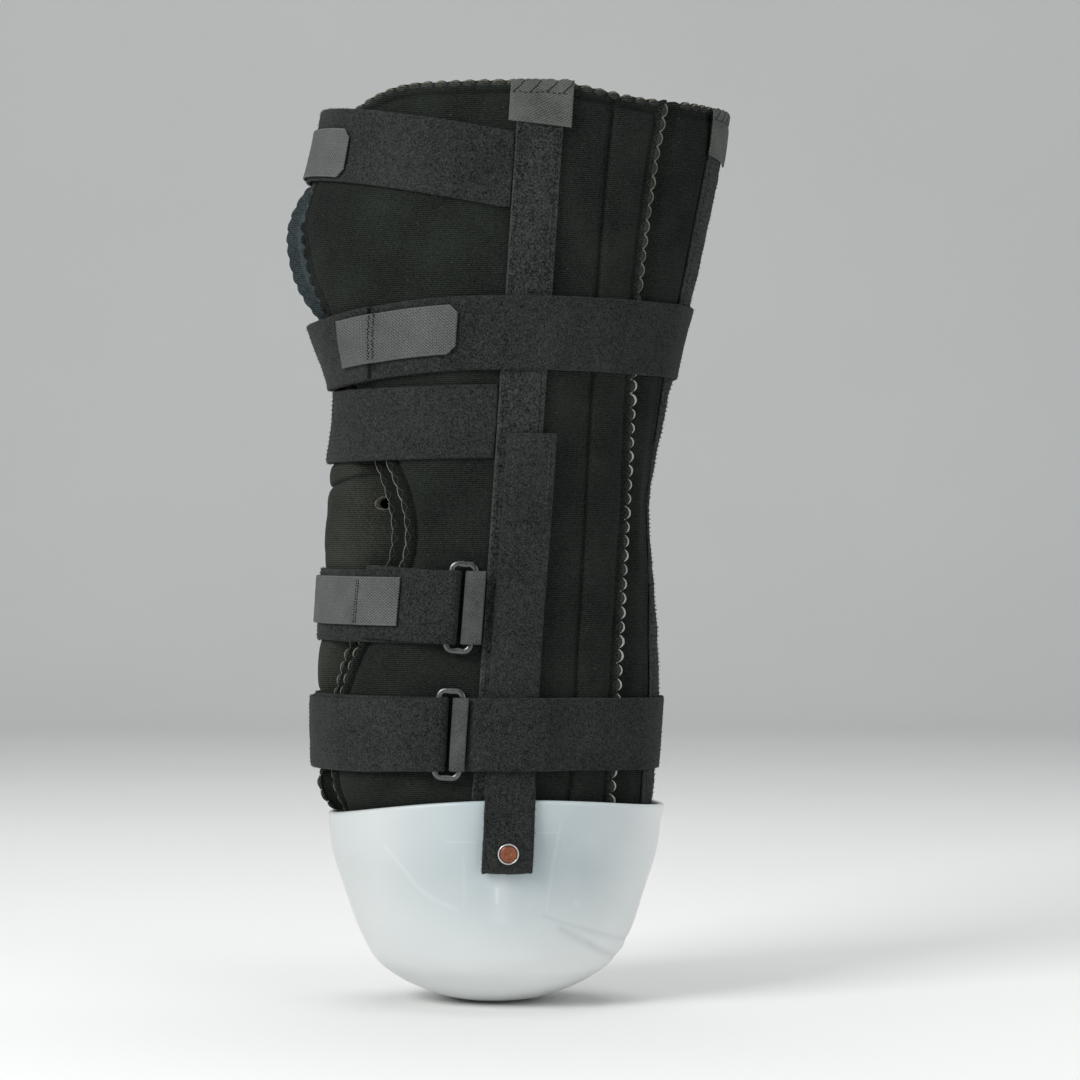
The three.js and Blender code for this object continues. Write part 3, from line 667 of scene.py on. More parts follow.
# Sizes of the lumps, rows and flecks in the cloths
RIB_WANDER = 3.0
KNIT_FUZZ = 0.9
KNIT_PATCH = 26
LINT_FLECK = 1.4
PILE_WEAR = 40
TWILL_FUZZ = 0.8
TWILL_WEAR = 14
HOOK_PITCH = 1.8
HOOK_ROW = 1.4
HOOK_SELVEDGE = 0.9
HOOK_WEAR = 16
THREAD_TWIST = 1.2

# Colours and form of the lint and of the painted shade in the puckers at the lip
LINT = (104, 106, 100)
PUCKER_SHADE = (26, 31, 31)
PUCKER_PITCH = 6.7
PUCKER_SWING = 2.2
PUCKER_INWARD = 2.9
PUCKER_HALF = 1.1


def knit(name, dark, light, rib, rib_depth, low=None):
    """Fine level ribs of a knit face, softly mottled, with a little lint. low is the darker pair of
    colours below the thigh of a cloth that puckers at its lip, where painted shade lines its folds."""
    finish = Finish(name, 0.85, Sheen_Weight=0.02, **CLOTH)
    point, (_, _, z) = finish.place()
    wander = finish.noise(point, RIB_WANDER) * 0.8
    ribs = ((z + wander) * (2 * math.pi / rib)).sine() * 0.5 + 0.5
    fuzz = finish.noise(point, KNIT_FUZZ, 3, 0.65)
    patches = finish.noise(point, KNIT_PATCH, 2)
    lint = finish.noise(point, LINT_FLECK, 1).over(0.79)
    sewn = 1 - finish.lay()[1] / EDGE_BAND
    share = ribs * 0.42 + (fuzz - 0.5) * 1.7 + (patches - 0.5) * 0.7 + 0.23 - 0.25 * sewn.over(0)
    colour = finish.blend(dark, light, share)
    if low:
        along, inward = finish.lay()
        # Painted shade: a dark zigzag stands in for the shade in the lip's pucker folds
        zigzag = (along * (2 * math.pi / PUCKER_PITCH)).sine() * PUCKER_SWING + PUCKER_INWARD
        pucker_shade = 1 - (inward - zigzag).size() / PUCKER_HALF
        colour = finish.blend(colour, PUCKER_SHADE, pucker_shade.most(0) * 0.5)
        high = (z - LIP_START) / LIP_RAMP
        colour = finish.blend(finish.blend(*low, share), colour, high.held(0, 1))
    colour = finish.blend(colour, LINT, lint * 0.4)
    finish.relief(ribs * 0.75 + fuzz * 0.9, rib_depth)
    return finish.paint(colour, 0.8 + fuzz * 0.15)


def brushed(name, dark, light, grain, depth, selvedge=0):
    """Short brushed pile: curled lumps of fibre with light tips, and a paler woven edge where asked."""
    finish = Finish(name, 0.95, Sheen_Weight=0.06, **CLOTH)
    point, _ = finish.place()
    curl = finish.noise(point, grain, 4, 0.8)
    clumps = finish.noise(point, grain * 3.2, 2, 0.55)
    worn = finish.noise(point, PILE_WEAR, 2)
    share = (curl - 0.5) * 3.6 + (clumps - 0.5) * 0.6 + (worn - 0.5) * 0.5 + 0.45
    if selvedge:
        share = share + finish.lay()[1].size().over(selvedge) * 0.2
    finish.relief(curl + clumps * 0.4, depth)
    return finish.paint(finish.blend(dark, light, share))


def twill(name, dark, light, pitch, slant):
    """Woven ribs that climb across the cloth, broken by the threads that cross them."""
    finish = Finish(name, 0.7, Sheen_Weight=0.05, **CLOTH)
    point, _ = finish.place()
    along, across = finish.lay()
    ribs = ((along + across * slant) * (2 * math.pi / pitch)).sine() * 0.5 + 0.5
    picks = ((along * slant - across) * (2 * math.pi / (pitch * 0.9))).sine() * 0.5 + 0.5
    fuzz = finish.noise(point, TWILL_FUZZ, 3, 0.6)
    worn = finish.noise(point, TWILL_WEAR, 2)
    share = ribs * 0.4 + picks * 0.25 + (fuzz - 0.5) * 1.2 + (worn - 0.5) * 0.7 + 0.2
    finish.relief(ribs * 0.7 + picks * 0.4 + fuzz * 0.5, 0.2)
    return finish.paint(finish.blend(dark, light, share))


def hooked(name, dark, light):
    """Staggered rows of tiny hooks on a woven tape with plain edges."""
    finish = Finish(name, 0.75, Sheen_Weight=0.04, **CLOTH)
    point, _ = finish.place()
    along, across = finish.lay()
    sway = (along * (2 * math.pi / HOOK_PITCH)).sine()
    rows = ((across + sway * 0.5) * (2 * math.pi / HOOK_ROW)).sine() * 0.5 + 0.5
    plain = across.size().over(HOOK_TAB_WIDTH / 2 - HOOK_SELVEDGE)
    hooks = (rows * 0.75 + sway.size() * 0.25) * (1 - plain) + plain * 0.55
    fuzz = finish.noise(point, TWILL_FUZZ, 3, 0.6)
    worn = finish.noise(point, HOOK_WEAR, 2)
    share = hooks * 0.95 + (fuzz - 0.5) * 0.9 + (worn - 0.5) * 0.5 - 0.02
    finish.relief(hooks + fuzz * 0.5, 0.35)
    return finish.paint(finish.blend(dark, light, share))


def thread(name, dark, light):
    """Twisted sewing thread."""
    finish = Finish(name, 0.6, Sheen_Weight=0.05, **CLOTH)
    point, _ = finish.place()
    return finish.paint(finish.blend(dark, light, finish.noise(point, THREAD_TWIST, 3, 0.7)))


def milky():
    """Milky moulded plastic with painted light and shade, lightly scratched."""
    finish = Finish("milky_plastic", 0.34, IOR=1.49, Subsurface_Weight=0.25, Subsurface_Scale=0.008)
    finish.shader.inputs["Subsurface Radius"].default_value = (1.0, 1.0, 1.0)
    point, (x, y, z) = finish.place()
    cloud = finish.noise(point, CUP_CLOUD, 3, 0.5)
    middle = (1 - ((x - CUP_THIN_X) / CUP_THIN_REACH) ** 2).most(0)
    high = ((z - CUP_THIN_FOOT) / CUP_THIN_RISE).held(0, 1)
    thin = middle * high * (0.75 + cloud * 0.5)
    across = x / CUP_SPREAD + 0.5
    # Painted light and shade: lighter to the right, lighter still towards the bottom as painted light from
    # the floor, darker to the left
    lit_and_shaded = finish.blend(CUP_SHADED_GREY, CUP_LIT_WHITE, across + (1 - high) * 0.35)
    colour = finish.blend(lit_and_shaded, CUP_THIN, thin * 0.9)
    near = y.under(0)
    # Scratches and a painted highlight, then painted shade along the creases, drawn on the near side only
    for shade, marks in ((CUP_SCRATCH_AND_HIGHLIGHT, CUP_SCRATCHES_AND_HIGHLIGHT), (CUP_FOLD_SHADE, CUP_FOLD_SHADES)):
        for line, width, strength in marks:
            colour = finish.blend(colour, shade, drawn(x, z, line, width) * strength * near)
    off_mark = ((x - CUP_MARK[0]) ** 2 + (z - CUP_MARK[1]) ** 2) ** 0.5 - CUP_MARK_RADIUS
    ring = math.exp(-1 / CUP_MARK_LINE**2) ** (off_mark * off_mark)
    colour = finish.blend(colour, CUP_SCRATCH_AND_HIGHLIGHT, ring * 0.25 * near)
    finish.relief(cloud + finish.noise(point, CUP_DIMPLE, 2) * 0.12, 0.5)
    return finish.paint(colour, 0.28 + cloud * 0.12)


# Colours of the cup: painted shaded grey and painted lit white, and where its wall is thin and lets the dark
# inside through
CUP_SHADED_GREY = (194, 199, 198)
CUP_LIT_WHITE = (228, 231, 230)
CUP_THIN = (166, 179, 183)
CUP_SCRATCH_AND_HIGHLIGHT = (224, 229, 229)
CUP_FOLD_SHADE = (140, 153, 157)
CUP_CLOUD = 30
CUP_DIMPLE = 6
CUP_SPREAD = 160
CUP_THIN_X = 14
CUP_THIN_REACH = 72
CUP_THIN_FOOT = 16
CUP_THIN_RISE = 52

# Marks on the outer side of the cup, the first two a painted highlight streak and its painted glow under the
# strap: points of each line in X and height, half width, strength
CUP_SCRATCHES_AND_HIGHLIGHT = (
    # The painted highlight streak under the strap, and its painted glow
    (((1.8, 60), (1.8, 53)), 0.9, 0.4),
    (((3.6, 62), (3.6, 46)), 5.0, 0.25),
    (((-23, 83), (-9, 83)), 0.5, 0.15),
    (((22, 87.5), (31, 87.5)), 0.5, 0.15),
    (((33, 92), (29, 70), (26, 48)), 0.7, 0.13),
    (
        ((-53.7, 79.5), (-48.5, 74), (-43.4, 67.9), (-39, 61.9), (-34, 57.3), (-28, 53.2), (-18, 49.3)),
        1.0,
        0.16,
    ),
    (((-14.5, 74), (-14.5, 50)), 0.9, 0.08),
    (((10, 34), (13, 26)), 0.6, 0.12),
)
# Painted shade along the cup's creases, in the same columns as the marks above
CUP_FOLD_SHADES = (
    (((25, 45.4), (46, 37.7), (57, 33.5), (67.8, 28.5)), 1.2, 0.14),
    (((33.3, 38.8), (47, 30.2), (61.4, 19.8)), 1.9, 0.22),
)

# A small round mark: its middle in X and height, its radius and half the width of its line
CUP_MARK = (41, 51.5)
CUP_MARK_RADIUS = 0.9
CUP_MARK_LINE = 0.5


def drawn(x, z, line, width):
    """How strongly a thin line of points shows at each place, 1 on the line itself."""
    closest = None
    for start, end in zip(line[:-1], line[1:]):
        run_x, run_z = end[0] - start[0], end[1] - start[1]
        share = ((x - start[0]) * run_x + (z - start[1]) * run_z) / (run_x**2 + run_z**2)
        share = share.held(0, 1)
        away = (x - start[0] - share * run_x) ** 2 + (z - start[1] - share * run_z) ** 2
        closest = away if closest is None else closest.least(away)
    return math.exp(-1 / width**2) ** closest


def metal(name, dark, light, roughness, grain):
    """Bare metal, handled and a little dull."""
    finish = Finish(name, roughness, Metallic=1)
    point, _ = finish.place()
    dull = finish.noise(point, grain, 3, 0.6)
    finish.relief(dull, 0.06)
    return finish.paint(finish.blend(dark, light, dull), roughness - 0.1 + dull * 0.2)


KNIT = knit("charcoal_knit", (12, 15, 13), (47, 51, 47), 1.0, 0.25)
# Painted light: a lighter copy of the panels' knit for the edge puffs, so they are not darker than the panel
LIGHTENED_PUFF_KNIT = knit("lightened_puff_knit", (28, 31, 28), (68, 71, 66), 1.0, 0.2)
TONGUE_KNIT = knit("olive_knit", (25, 27, 24), (64, 66, 60), 1.0, 0.3)
SLATE_KNIT = knit("slate_knit", (40, 47, 49), (76, 85, 87), 1.0, 0.25, ((16, 19, 16), (44, 47, 42)))
BRUSHED = brushed("brushed_strap_pile", (10, 11, 11), (62, 64, 63), 0.75, 0.3)
LOOPS = brushed("loop_tape_pile", (6, 7, 7), (69, 71, 70), 1.05, 0.45, TAPE_WIDTH / 2 - 0.9)
TWILL = twill("grey_twill", (36, 38, 37), (90, 92, 90), 1.25, 0.8)
TAB_TWILL = twill("pocket_tab_twill", (46, 48, 46), (102, 104, 100), 1.3, -0.6)
FELT = brushed("felt_core", (44, 45, 42), (132, 132, 124), 1.4, 0.3)
HOOKS = hooked("grey_hook_tape", (56, 58, 57), (110, 112, 110))
PALE_THREAD = thread("pale_edge_roll", (104, 105, 100), (196, 197, 190))
LINE_THREAD = thread("edge_line_thread", (66, 68, 61), (132, 132, 122))
TOP_THREAD = thread("top_edge_thread", (40, 42, 37), (128, 122, 104))
GREY_THREAD = thread("grey_thread", (40, 43, 40), (82, 84, 79))
STRAP_THREAD = thread("strap_thread", (46, 48, 45), (92, 94, 89))
DARK_THREAD = thread("dark_thread", (16, 17, 17), (36, 38, 37))
MILKY = milky()
RING_METAL = metal("dark_ring_metal", (66, 68, 66), (112, 114, 112), 0.3, 3)
COPPER = metal("copper", (112, 68, 50), (160, 104, 79), 0.4, 1.6)
BRIGHT_METAL = metal("bright_metal", (176, 178, 176), (222, 223, 221), 0.3, 2)


# Sewn edges
BAND_STEPS = np.array([0, 0.12, 0.4, 0.85, 1.5, 2.4, 3.5, 4.7, 5.6, 6.2, 7, 8.4, 10.5])
BAND_DEPTHS = np.array([0.06, 0.7, 1.1, 1.45, 1.75, 1.9, 1.75, 1.3, 0.75, 0.6, 1.0, 1.7, 2.0])
LOBE_POWER = 0.6
LOBE_MEAN = 0.75
PINCH = 0.75
PUCKER_DEPTH = 0.6
PUCKER_WIDTH = 0.9
PUCKER_START = 3
PUCKER_END = 8
PUCKER_SLANT = 0.7
FAR_IN = 100
BAND_INNER = 6.3
BAND_GROOVE = 1.1
LEAST_HALF = 0.2
CORD_LIFT = 1.0
PUFF = 2.1
SMALL_PUFF = 1.2
PUFF_LIFT = 0.35
LINE_LIFT = 0.65
ROLL_LEAN = 0.65
LIP_RIPPLE = 0.35
STRIP_RIDGE = 0.8
THIGH_FORWARD = 1.0
SEWN_FOOT = 80
CALF_TOP = 200
LIP_FOOT = 330
CRESCENT_TOP = 345
THREAD_DEEP = 5.1
THREAD_SHORT = 3.2
THREAD_RADIUS = 0.13
THREAD_INSET = 0.6
ROLL_INSET = 0.2
LOBE_STEPS = 9
PUFF_STEPS = 10
LEAST_ROUND = 0.02

# Rolled threads of the edges: radius, finish, puff under it, share left at a stitch, how far it dips there
CALF_ROLL = (0.5, LINE_THREAD, SMALL_PUFF, 0.3)
KNEE_ROLL = (0.36, LINE_THREAD)
TOP_ROLL = (0.55, TOP_THREAD, PUFF, 0.3)
REAR_UPPER_ROLL = (0.5, LINE_THREAD, PUFF, 0.8, 0.35)
REAR_LOWER_ROLL = (0.95, PALE_THREAD, PUFF, 0.35)
FACING_CALF_ROLL = (0.45, LINE_THREAD, SMALL_PUFF, 0.3)
FACING_KNEE_ROLL = (0.2, LINE_THREAD)


class Border:
    """A sewn border of a sheet: where it runs, which way is out, and its lobes between stitches."""

    STEP = 0.4

    def __init__(self, line, inside, normals, lobes):
        """lobes is how far the lobes stand out, for the whole border or for each point of its line."""
        out = np.cross(unit(np.gradient(line, axis=0)), normals)
        out *= np.sign(np.einsum("ij,ij->i", out, line - inside))[:, None]
        steps = np.linalg.norm(np.diff(line, axis=0), axis=1)
        self.run = np.concatenate([[0], np.cumsum(steps)])
        self.length = self.run[-1]
        self.at = np.arange(0, self.length, self.STEP)
        self.line, self.out, self.normals = (
            np.stack([np.interp(self.at, self.run, v[:, i]) for i in range(3)], -1)
            for v in (line, unit(out), normals)
        )
        self.lobes = np.interp(self.at, self.run, np.broadcast_to(lobes, self.run.shape))
        self.tree = KDTree(len(self.at))
        for i, point in enumerate(self.line):
            self.tree.insert(point, i)
        self.tree.balance()

    def round_of(self, at):
        """0 at a stitch and 1 in the middle of a lobe."""
        return np.abs(np.sin(np.pi * at / LOBE)) ** LOBE_POWER

    def lobe(self, at):
        return np.interp(at, self.at, self.lobes) * (self.round_of(at) - LOBE_MEAN)

    def nearest(self, points):
        """Distance from the border and nearest step of it, for each point."""
        found = [self.tree.find(point) for point in points.reshape(-1, 3)]
        index = np.array([f[1] for f in found]).reshape(points.shape[:-1])
        distance = np.array([f[2] for f in found]).reshape(points.shape[:-1])
        return distance, index

    def spot(self, at, inward):
        """Points a distance in from the scalloped edge, the way out of the sheet and out of its face."""
        index = np.clip((at / self.STEP).astype(int), 0, len(self.at) - 1)
        shift = (self.lobe(at) * (1 - ease(inward / EDGE_BAND)) - inward)[..., None]
        return self.line[index] + self.out[index] * shift, self.out[index], self.normals[index]


def scalloped(border, points):
    """How points move into the border's lobes, their distance from it and their place along it."""
    distance, index = border.nearest(points)
    at = border.at[index]
    near = 1 - ease(distance / EDGE_BAND)
    return border.out[index] * (border.lobe(at) * near)[..., None], distance, at


def pinched(border, distance, at):
    """Share of the thickness left where the stitches between lobes pull the cloth in."""
    near = 1 - ease(distance / EDGE_BAND)
    return 1 - PINCH * near * (1 - border.round_of(at))


def puckered(distance, at):
    """Share of the thickness left where short folds run in from the stitches at a slant."""
    off = (at + PUCKER_SLANT * distance + LOBE / 2) % LOBE - LOBE / 2
    fade = 1 - ease((distance - PUCKER_START) / (PUCKER_END - PUCKER_START))
    return 1 - PUCKER_DEPTH * bell(off, PUCKER_WIDTH) * fade


def lobe_places(low, high, steps):
    """Places along each whole lobe between two lengths of a border."""
    starts = np.arange(math.ceil(low / LOBE), int(high / LOBE))[:, None] * LOBE
    return starts + np.linspace(0, LOBE, steps)


def edge_lobes(name, border, low, high, puff, lift=PUFF_LIFT, finish=LIGHTENED_PUFF_KNIT):
    """Puffs of padding that swell out between the stitches of a border."""
    at = lobe_places(low, high, PUFF_STEPS)
    spots, _, normals = border.spot(at, at * 0 + puff)
    reach = puff * np.maximum(border.round_of(at), LEAST_ROUND)
    tubes(f"{name}_lobes", spots + normals * lift, normals, reach, finish, "padding", 10, (0, FAR_IN))


def edge_threads(name, face, border, low, high, deep, puff=0):
    """Overlock threads that cross the sewn band of a border, over its puffs where it has them."""
    at = lobe_places(low, high, LOBE_STEPS)
    inward = THREAD_INSET + deep * (1 - np.abs(np.linspace(-1, 1, LOBE_STEPS))) ** 0.9 + at * 0
    spots, _, normals = border.spot(at, inward)
    round_top = (puff * border.round_of(at)) ** 2 - (inward - puff) ** 2
    over = PUFF_LIFT + np.sqrt(round_top.clip(0)) - np.interp(inward, BAND_STEPS, BAND_DEPTHS)
    lift = 0.1 + over.clip(0) * (puff > 0)
    lines, normals = face.press(spots + normals * PADDING / 2, lift)
    tubes(f"{name}_threads", lines, normals, THREAD_RADIUS, GREY_THREAD, "grey_twill", 4)


def edge_rolls(name, border, low, high, size, finish, puff=0, thin=1.0, wave=1.0):
    """Rolled bead of thread along a border, on its puffs where it has them. thin is the share of its size
    that is left at a stitch, and wave how far it follows the puffs in there."""
    at = lobe_places(low, high, LOBE_STEPS)
    spots, out, normals = border.spot(at, at * 0 + ROLL_INSET + puff)
    reach = (puff * mix(1, np.maximum(border.round_of(at), LEAST_ROUND), wave))[..., None]
    lift = PUFF_LIFT if puff else LINE_LIFT
    spots = spots + out * reach * math.cos(ROLL_LEAN) + normals * (reach * math.sin(ROLL_LEAN) + lift)
    chance = np.random.default_rng(len(at)).uniform(0.8, 1.2, (len(at), 1))
    radii = size * chance * mix(thin, 1, np.sin(np.linspace(0, np.pi, LOBE_STEPS)))
    tubes(f"{name}_rolls", spots, normals, radii, finish, "grey_twill", 6)


# Wrap
GROOVE_STEPS = np.array([-4, -2.8, -1.9, -1.2, -0.6, 0, 0.6, 1.2, 1.9, 2.8, 4])
CORNER_ROWS = 60
PANEL_COLUMNS = 48
CHANNEL_COLUMNS = 7
BACK_COLUMNS = 56
TONGUE_COLUMNS = 62
COARSE_STEP = 3.2
CHANNEL_SWELL = 0.9
FLAT_EDGE = 8
SOFT_START = 12
FACE_EDGE = 0.7
THIGH_START = 340
THIGH_RAMP = 25
CORNER_RAMP = 12
CORNER_LEAST = 2.5
REAR_SEWN = 0.12
REAR_STEP = 2.4
LAP_COLUMNS_LEFT_OUT = 5
INNER_COLUMN = 3
INNER_ROW = 12
FACING_INNER_COLUMN = 5
FACING_COLUMN_STEP = 1.1
TONGUE_RAMP_LOW = 25
TONGUE_RAMP_HIGH = 35

# Slow unevenness of the padding: how many waves, how high, turns up and round the wrap
DRIFT_WAVES = 7
DRIFT_HEIGHT = 0.13
DRIFT_UP = (0.02, 0.11)
DRIFT_ROUND = (1, 7)
DRIFT_START = (0, 6.3)
PANEL_SINK = 0.3
BACK_SINK = 0.2

# The back panel beside its tape: where it lies flat, and the ridge that the tape's edge raises
TAPE_FLAT = 14
TAPE_FLAT_RAMP = 10
RIDGE_OFF = 2.2
RIDGE_WIDTH = 2


def front_edge(z):
    z = np.asarray(z, float)
    middle, half, _ = section(z)
    climb = np.clip((z - CORNER_START) / (WRAP_TOP - CORNER_START), 0, 1)
    round_x = CORNER_X - CORNER_REACH * np.sqrt(1 - climb**2)
    corner = np.maximum(round_x, middle - half + CORNER_LEAST)
    forward = ease((z - THIGH_START) / THIGH_RAMP) * ease((CORNER_START - z) / CORNER_RAMP)
    return np.where(z <= CORNER_START, FRONT_EDGE("x", z) - THIGH_FORWARD * forward, corner)


def rear_drop(z, angle):
    share = ease((z - CORNER_START) / (WRAP_TOP - CORNER_START))
    return REAR_DROP * share * ease((angle - DROP_START) / DROP_SPREAD)


def wrap_rows(step):
    """Heights of a sheet's rows, closer together in the round top corner."""
    corner = np.sin(np.linspace(0, np.pi / 2, CORNER_ROWS))
    low = np.arange(WRAP_FOOT, CORNER_START, step)
    high = CORNER_START + (WRAP_TOP - CORNER_START) * corner
    return np.concatenate([low, high])[:, None]


def drift(z, angle, seed):
    """Slow unevenness of stuffed cloth, within about half a millimetre."""
    chance = np.random.default_rng(seed)
    out = 0
    for _ in range(DRIFT_WAVES):
        up, round_, start = (chance.uniform(*limits) for limits in (DRIFT_UP, DRIFT_ROUND, DRIFT_START))
        out = out + np.sin(up * z + round_ * angle + start) * DRIFT_HEIGHT
    return out


def side_panel(name, side):
    z = wrap_rows(ROW_STEP)
    front = angle_at(z, front_edge(z))
    seam = angle_at(z, REAR_EDGES("seam", z))
    rear = angle_at(z, REAR_EDGES("rear", z))
    inner = front + BAND_STEPS[-1] / pace(z, front)
    outer = rear - BAND_STEPS[-1] / pace(z, rear)
    groove = GROOVE_STEPS / pace(z, seam)
    angle = np.concatenate(
        [
            front + BAND_STEPS[:-1] / pace(z, front),
            mix(inner, seam + groove[:, :1], np.linspace(0, 1, PANEL_COLUMNS)[None, :-1]),
            seam + groove,
            mix(seam + groove[:, -1:], outer, np.linspace(0, 1, CHANNEL_COLUMNS)[None, 1:]),
            rear - BAND_STEPS[-2::-1] / pace(z, rear),
        ],
        axis=1,
    )
    height = z - rear_drop(z, angle)
    middle = mirrored(skin(height, angle, -PADDING / 2), side)
    normals = mirrored(skin(height, angle, 1) - skin(height, angle, 0), side)
    around = [(slice(None), 0), (-1, slice(None)), (slice(None, None, -1), -1)]
    within = [(slice(None), INNER_COLUMN), (-INNER_ROW, slice(None))]
    within.append((slice(None, None, -1), -1 - INNER_COLUMN))
    border = Border(
        np.concatenate([middle[i] for i in around]),
        np.concatenate([middle[i] for i in within]),
        np.concatenate([normals[i] for i in around]),
        np.repeat([FRONT_LOBE, PANEL_LOBE], [len(z), len(z) + angle.shape[1]]),
    )
    rows, columns = angle.shape
    far_up = rows + columns - 1
    heights = (SEWN_FOOT, CALF_TOP, LIP_FOOT, CORNER_START)
    foot, calf, lip, corner = border.run[np.searchsorted(z[:, 0], heights)]
    back = border.run[far_up]
    fold, end = border.run[far_up + rows - np.searchsorted(z[:, 0], (CRESCENT_TOP, SEWN_FOOT))]
    shift, distance, at = scalloped(border, middle)
    half = np.interp(distance, BAND_STEPS, BAND_DEPTHS) * pinched(border, distance, at)
    from_seam = (angle - seam) * pace(z, seam)
    channel = ease(from_seam / 6) * ease((distance - FLAT_EDGE) / 4)
    sink = SEAM_GROOVE * bell(from_seam, SEAM_WIDTH) * ease(distance / EDGE_BAND) - CHANNEL_SWELL * channel
    sink = sink + BAND_GROOVE * bell(distance - BAND_INNER, 0.8)
    soft = ease((distance - FLAT_EDGE) / SOFT_START)
    outside = np.maximum(half - sink + (drift(z, angle, 3) - PANEL_SINK) * soft, LEAST_HALF - half)
    front_band = np.where(at < lip, distance, FAR_IN)
    lay = np.stack([np.broadcast_to(height, angle.shape), front_band], -1)
    piece = slab(
        name,
        middle + normals * outside[..., None] + shift,
        middle - normals * half[..., None] + shift,
        KNIT,
        "padding",
        lay,
    )
    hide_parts(name)
    face = Face(piece, (distance > FACE_EDGE).ravel())
    edge_lobes(f"{name}_calf_edge", border, foot, calf, SMALL_PUFF)
    edge_rolls(f"{name}_calf_edge", border, foot, calf, *CALF_ROLL)
    edge_threads(f"{name}_knee_edge", face, border, foot, lip, THREAD_SHORT)
    edge_rolls(f"{name}_knee_edge", border, calf, lip, *KNEE_ROLL)
    edge_lobes(f"{name}_thigh_edge", border, lip, corner, PUFF, CORD_LIFT, KNIT)
    edge_lobes(f"{name}_top_edge", border, corner, back, PUFF)
    edge_rolls(f"{name}_top_edge", border, corner, back, *TOP_ROLL)
    edge_lobes(f"{name}_rear_edge", border, back, end, PUFF)
    edge_threads(f"{name}_rear_edge", face, border, back, end, THREAD_DEEP, PUFF)
    edge_rolls(f"{name}_rear_edge_upper", border, back, fold, *REAR_UPPER_ROLL)
    edge_rolls(f"{name}_rear_edge_lower", border, fold, end, *REAR_LOWER_ROLL)
    return piece


def rear_panel(name):
    z = wrap_rows(COARSE_STEP)
    rear = angle_at(z, REAR_EDGES("rear", z))
    step = 1 / pace(z, rear)
    offsets = stations(REAR_LAP + LAP_RISE, REAR_STEP, PADDING / 2)[:-LAP_COLUMNS_LEFT_OUT] - REAR_LAP
    near = rear + offsets * step
    rise = rear + LAP_RISE * step
    back = mix(rise, np.pi - rise, np.linspace(0, 1, BACK_COLUMNS)[None, :])
    angle = np.concatenate([near, back, np.pi - near[:, ::-1]], axis=1)
    nearest = np.minimum(angle, np.pi - angle)
    beyond = (nearest - rear) / step
    lift = mix(-(PADDING + LAYER_GAP), 0, ease((beyond - 1) / (LAP_RISE - 1)))
    height = z - rear_drop(z, nearest)
    middle = skin(height, angle, lift - PADDING / 2)
    normals = skin(height, angle, 1) - skin(height, angle, 0)
    top = Border(middle[-1], middle[-INNER_ROW], normals[-1], PANEL_LOBE)
    shift, distance, at = scalloped(top, middle)
    side_edge = rounding(beyond + REAR_LAP, PADDING / 2)
    half = np.interp(distance, BAND_STEPS, BAND_DEPTHS) * side_edge * pinched(top, distance, at)
    from_tape = np.abs(angle - rear_angle(height)) * pace(z, angle)
    within = ease((distance - FLAT_EDGE) / SOFT_START)
    beside = ease((from_tape - TAPE_FLAT) / TAPE_FLAT_RAMP)
    soft = within * ease((beyond - LAP_RISE) / SOFT_START) * beside
    ridge = STRIP_RIDGE * bell(from_tape - TAPE_WIDTH / 2 - RIDGE_OFF, RIDGE_WIDTH) * within
    outside = half + (drift(z, angle, 5) - BACK_SINK) * soft + ridge
    piece = slab(
        name,
        middle + normals * outside[..., None] + shift,
        middle - normals * half[..., None] + shift,
        KNIT,
        "padding",
        np.stack([np.broadcast_to(height, angle.shape), FAR_IN + 0 * distance], -1),
    )
    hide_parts(name)
    low, high = REAR_SEWN * top.length, (1 - REAR_SEWN) * top.length
    edge_lobes(f"{name}_top_edge", top, low, high, PUFF)
    edge_rolls(f"{name}_top_edge", top, low, high, *TOP_ROLL)
    return piece


def facing(name, side):
    z = np.arange(WRAP_FOOT, FACING_TOP + 0.1, FACING_STEP)[:, None]
    edge = angle_at(z, front_edge(z))
    width = EDGE_BAND + FACING_SHOWN
    offset = EDGE_BAND - stations(width, FACING_COLUMN_STEP, FACING / 2)[None, :]
    shown = np.clip((-FACING_CLEAR - offset) / (FACING_SHOWN - FACING_CLEAR), 0, 1)
    lift = -PADDING - LAYER_GAP + (FACING_LIFT + bulge(LIPS, z)) * shown**1.5 - FACING / 2
    angle = edge + offset / pace(z, edge)
    middle = mirrored(skin(z, angle, lift), side)
    normals = mirrored(skin(z, angle, 1) - skin(z, angle, 0), side)
    lip = ease((z - LIP_START) / LIP_RAMP)
    inside = middle[:, -1 - FACING_INNER_COLUMN]
    border = Border(middle[:, -1], inside, normals[:, -1], mix(KNEE_LOBE, LIP_LOBE, lip[:, 0]))
    shift, distance, at = scalloped(border, middle)
    middle = middle + normals * (LIP_RIPPLE * lip * (border.round_of(at) - 0.6) * shown)[..., None]
    half = FACING / 2 * rounding(distance, 1.0) * rounding(EDGE_BAND - offset, 1.0)
    half = half * pinched(border, distance * 2, at) * puckered(distance, at)
    lay = np.stack([z + 0 * offset, distance], -1)
    piece = slab(
        name,
        middle + normals * half[..., None] + shift,
        middle - normals * half[..., None] + shift,
        SLATE_KNIT,
        "slate_binding",
        lay,
    )
    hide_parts(name)
    face = Face(piece, (distance > FACE_EDGE).ravel())
    foot, calf, high = border.run[np.searchsorted(z[:, 0], (SEWN_FOOT, CALF_TOP, LIP_FOOT))]
    edge_lobes(f"{name}_calf_edge", border, foot, calf, SMALL_PUFF)
    edge_rolls(f"{name}_calf_edge", border, foot, calf, *FACING_CALF_ROLL)
    edge_threads(f"{name}_knee_edge", face, border, foot, high, THREAD_SHORT)
    edge_rolls(f"{name}_knee_edge", border, calf, high, *FACING_KNEE_ROLL)
    return piece


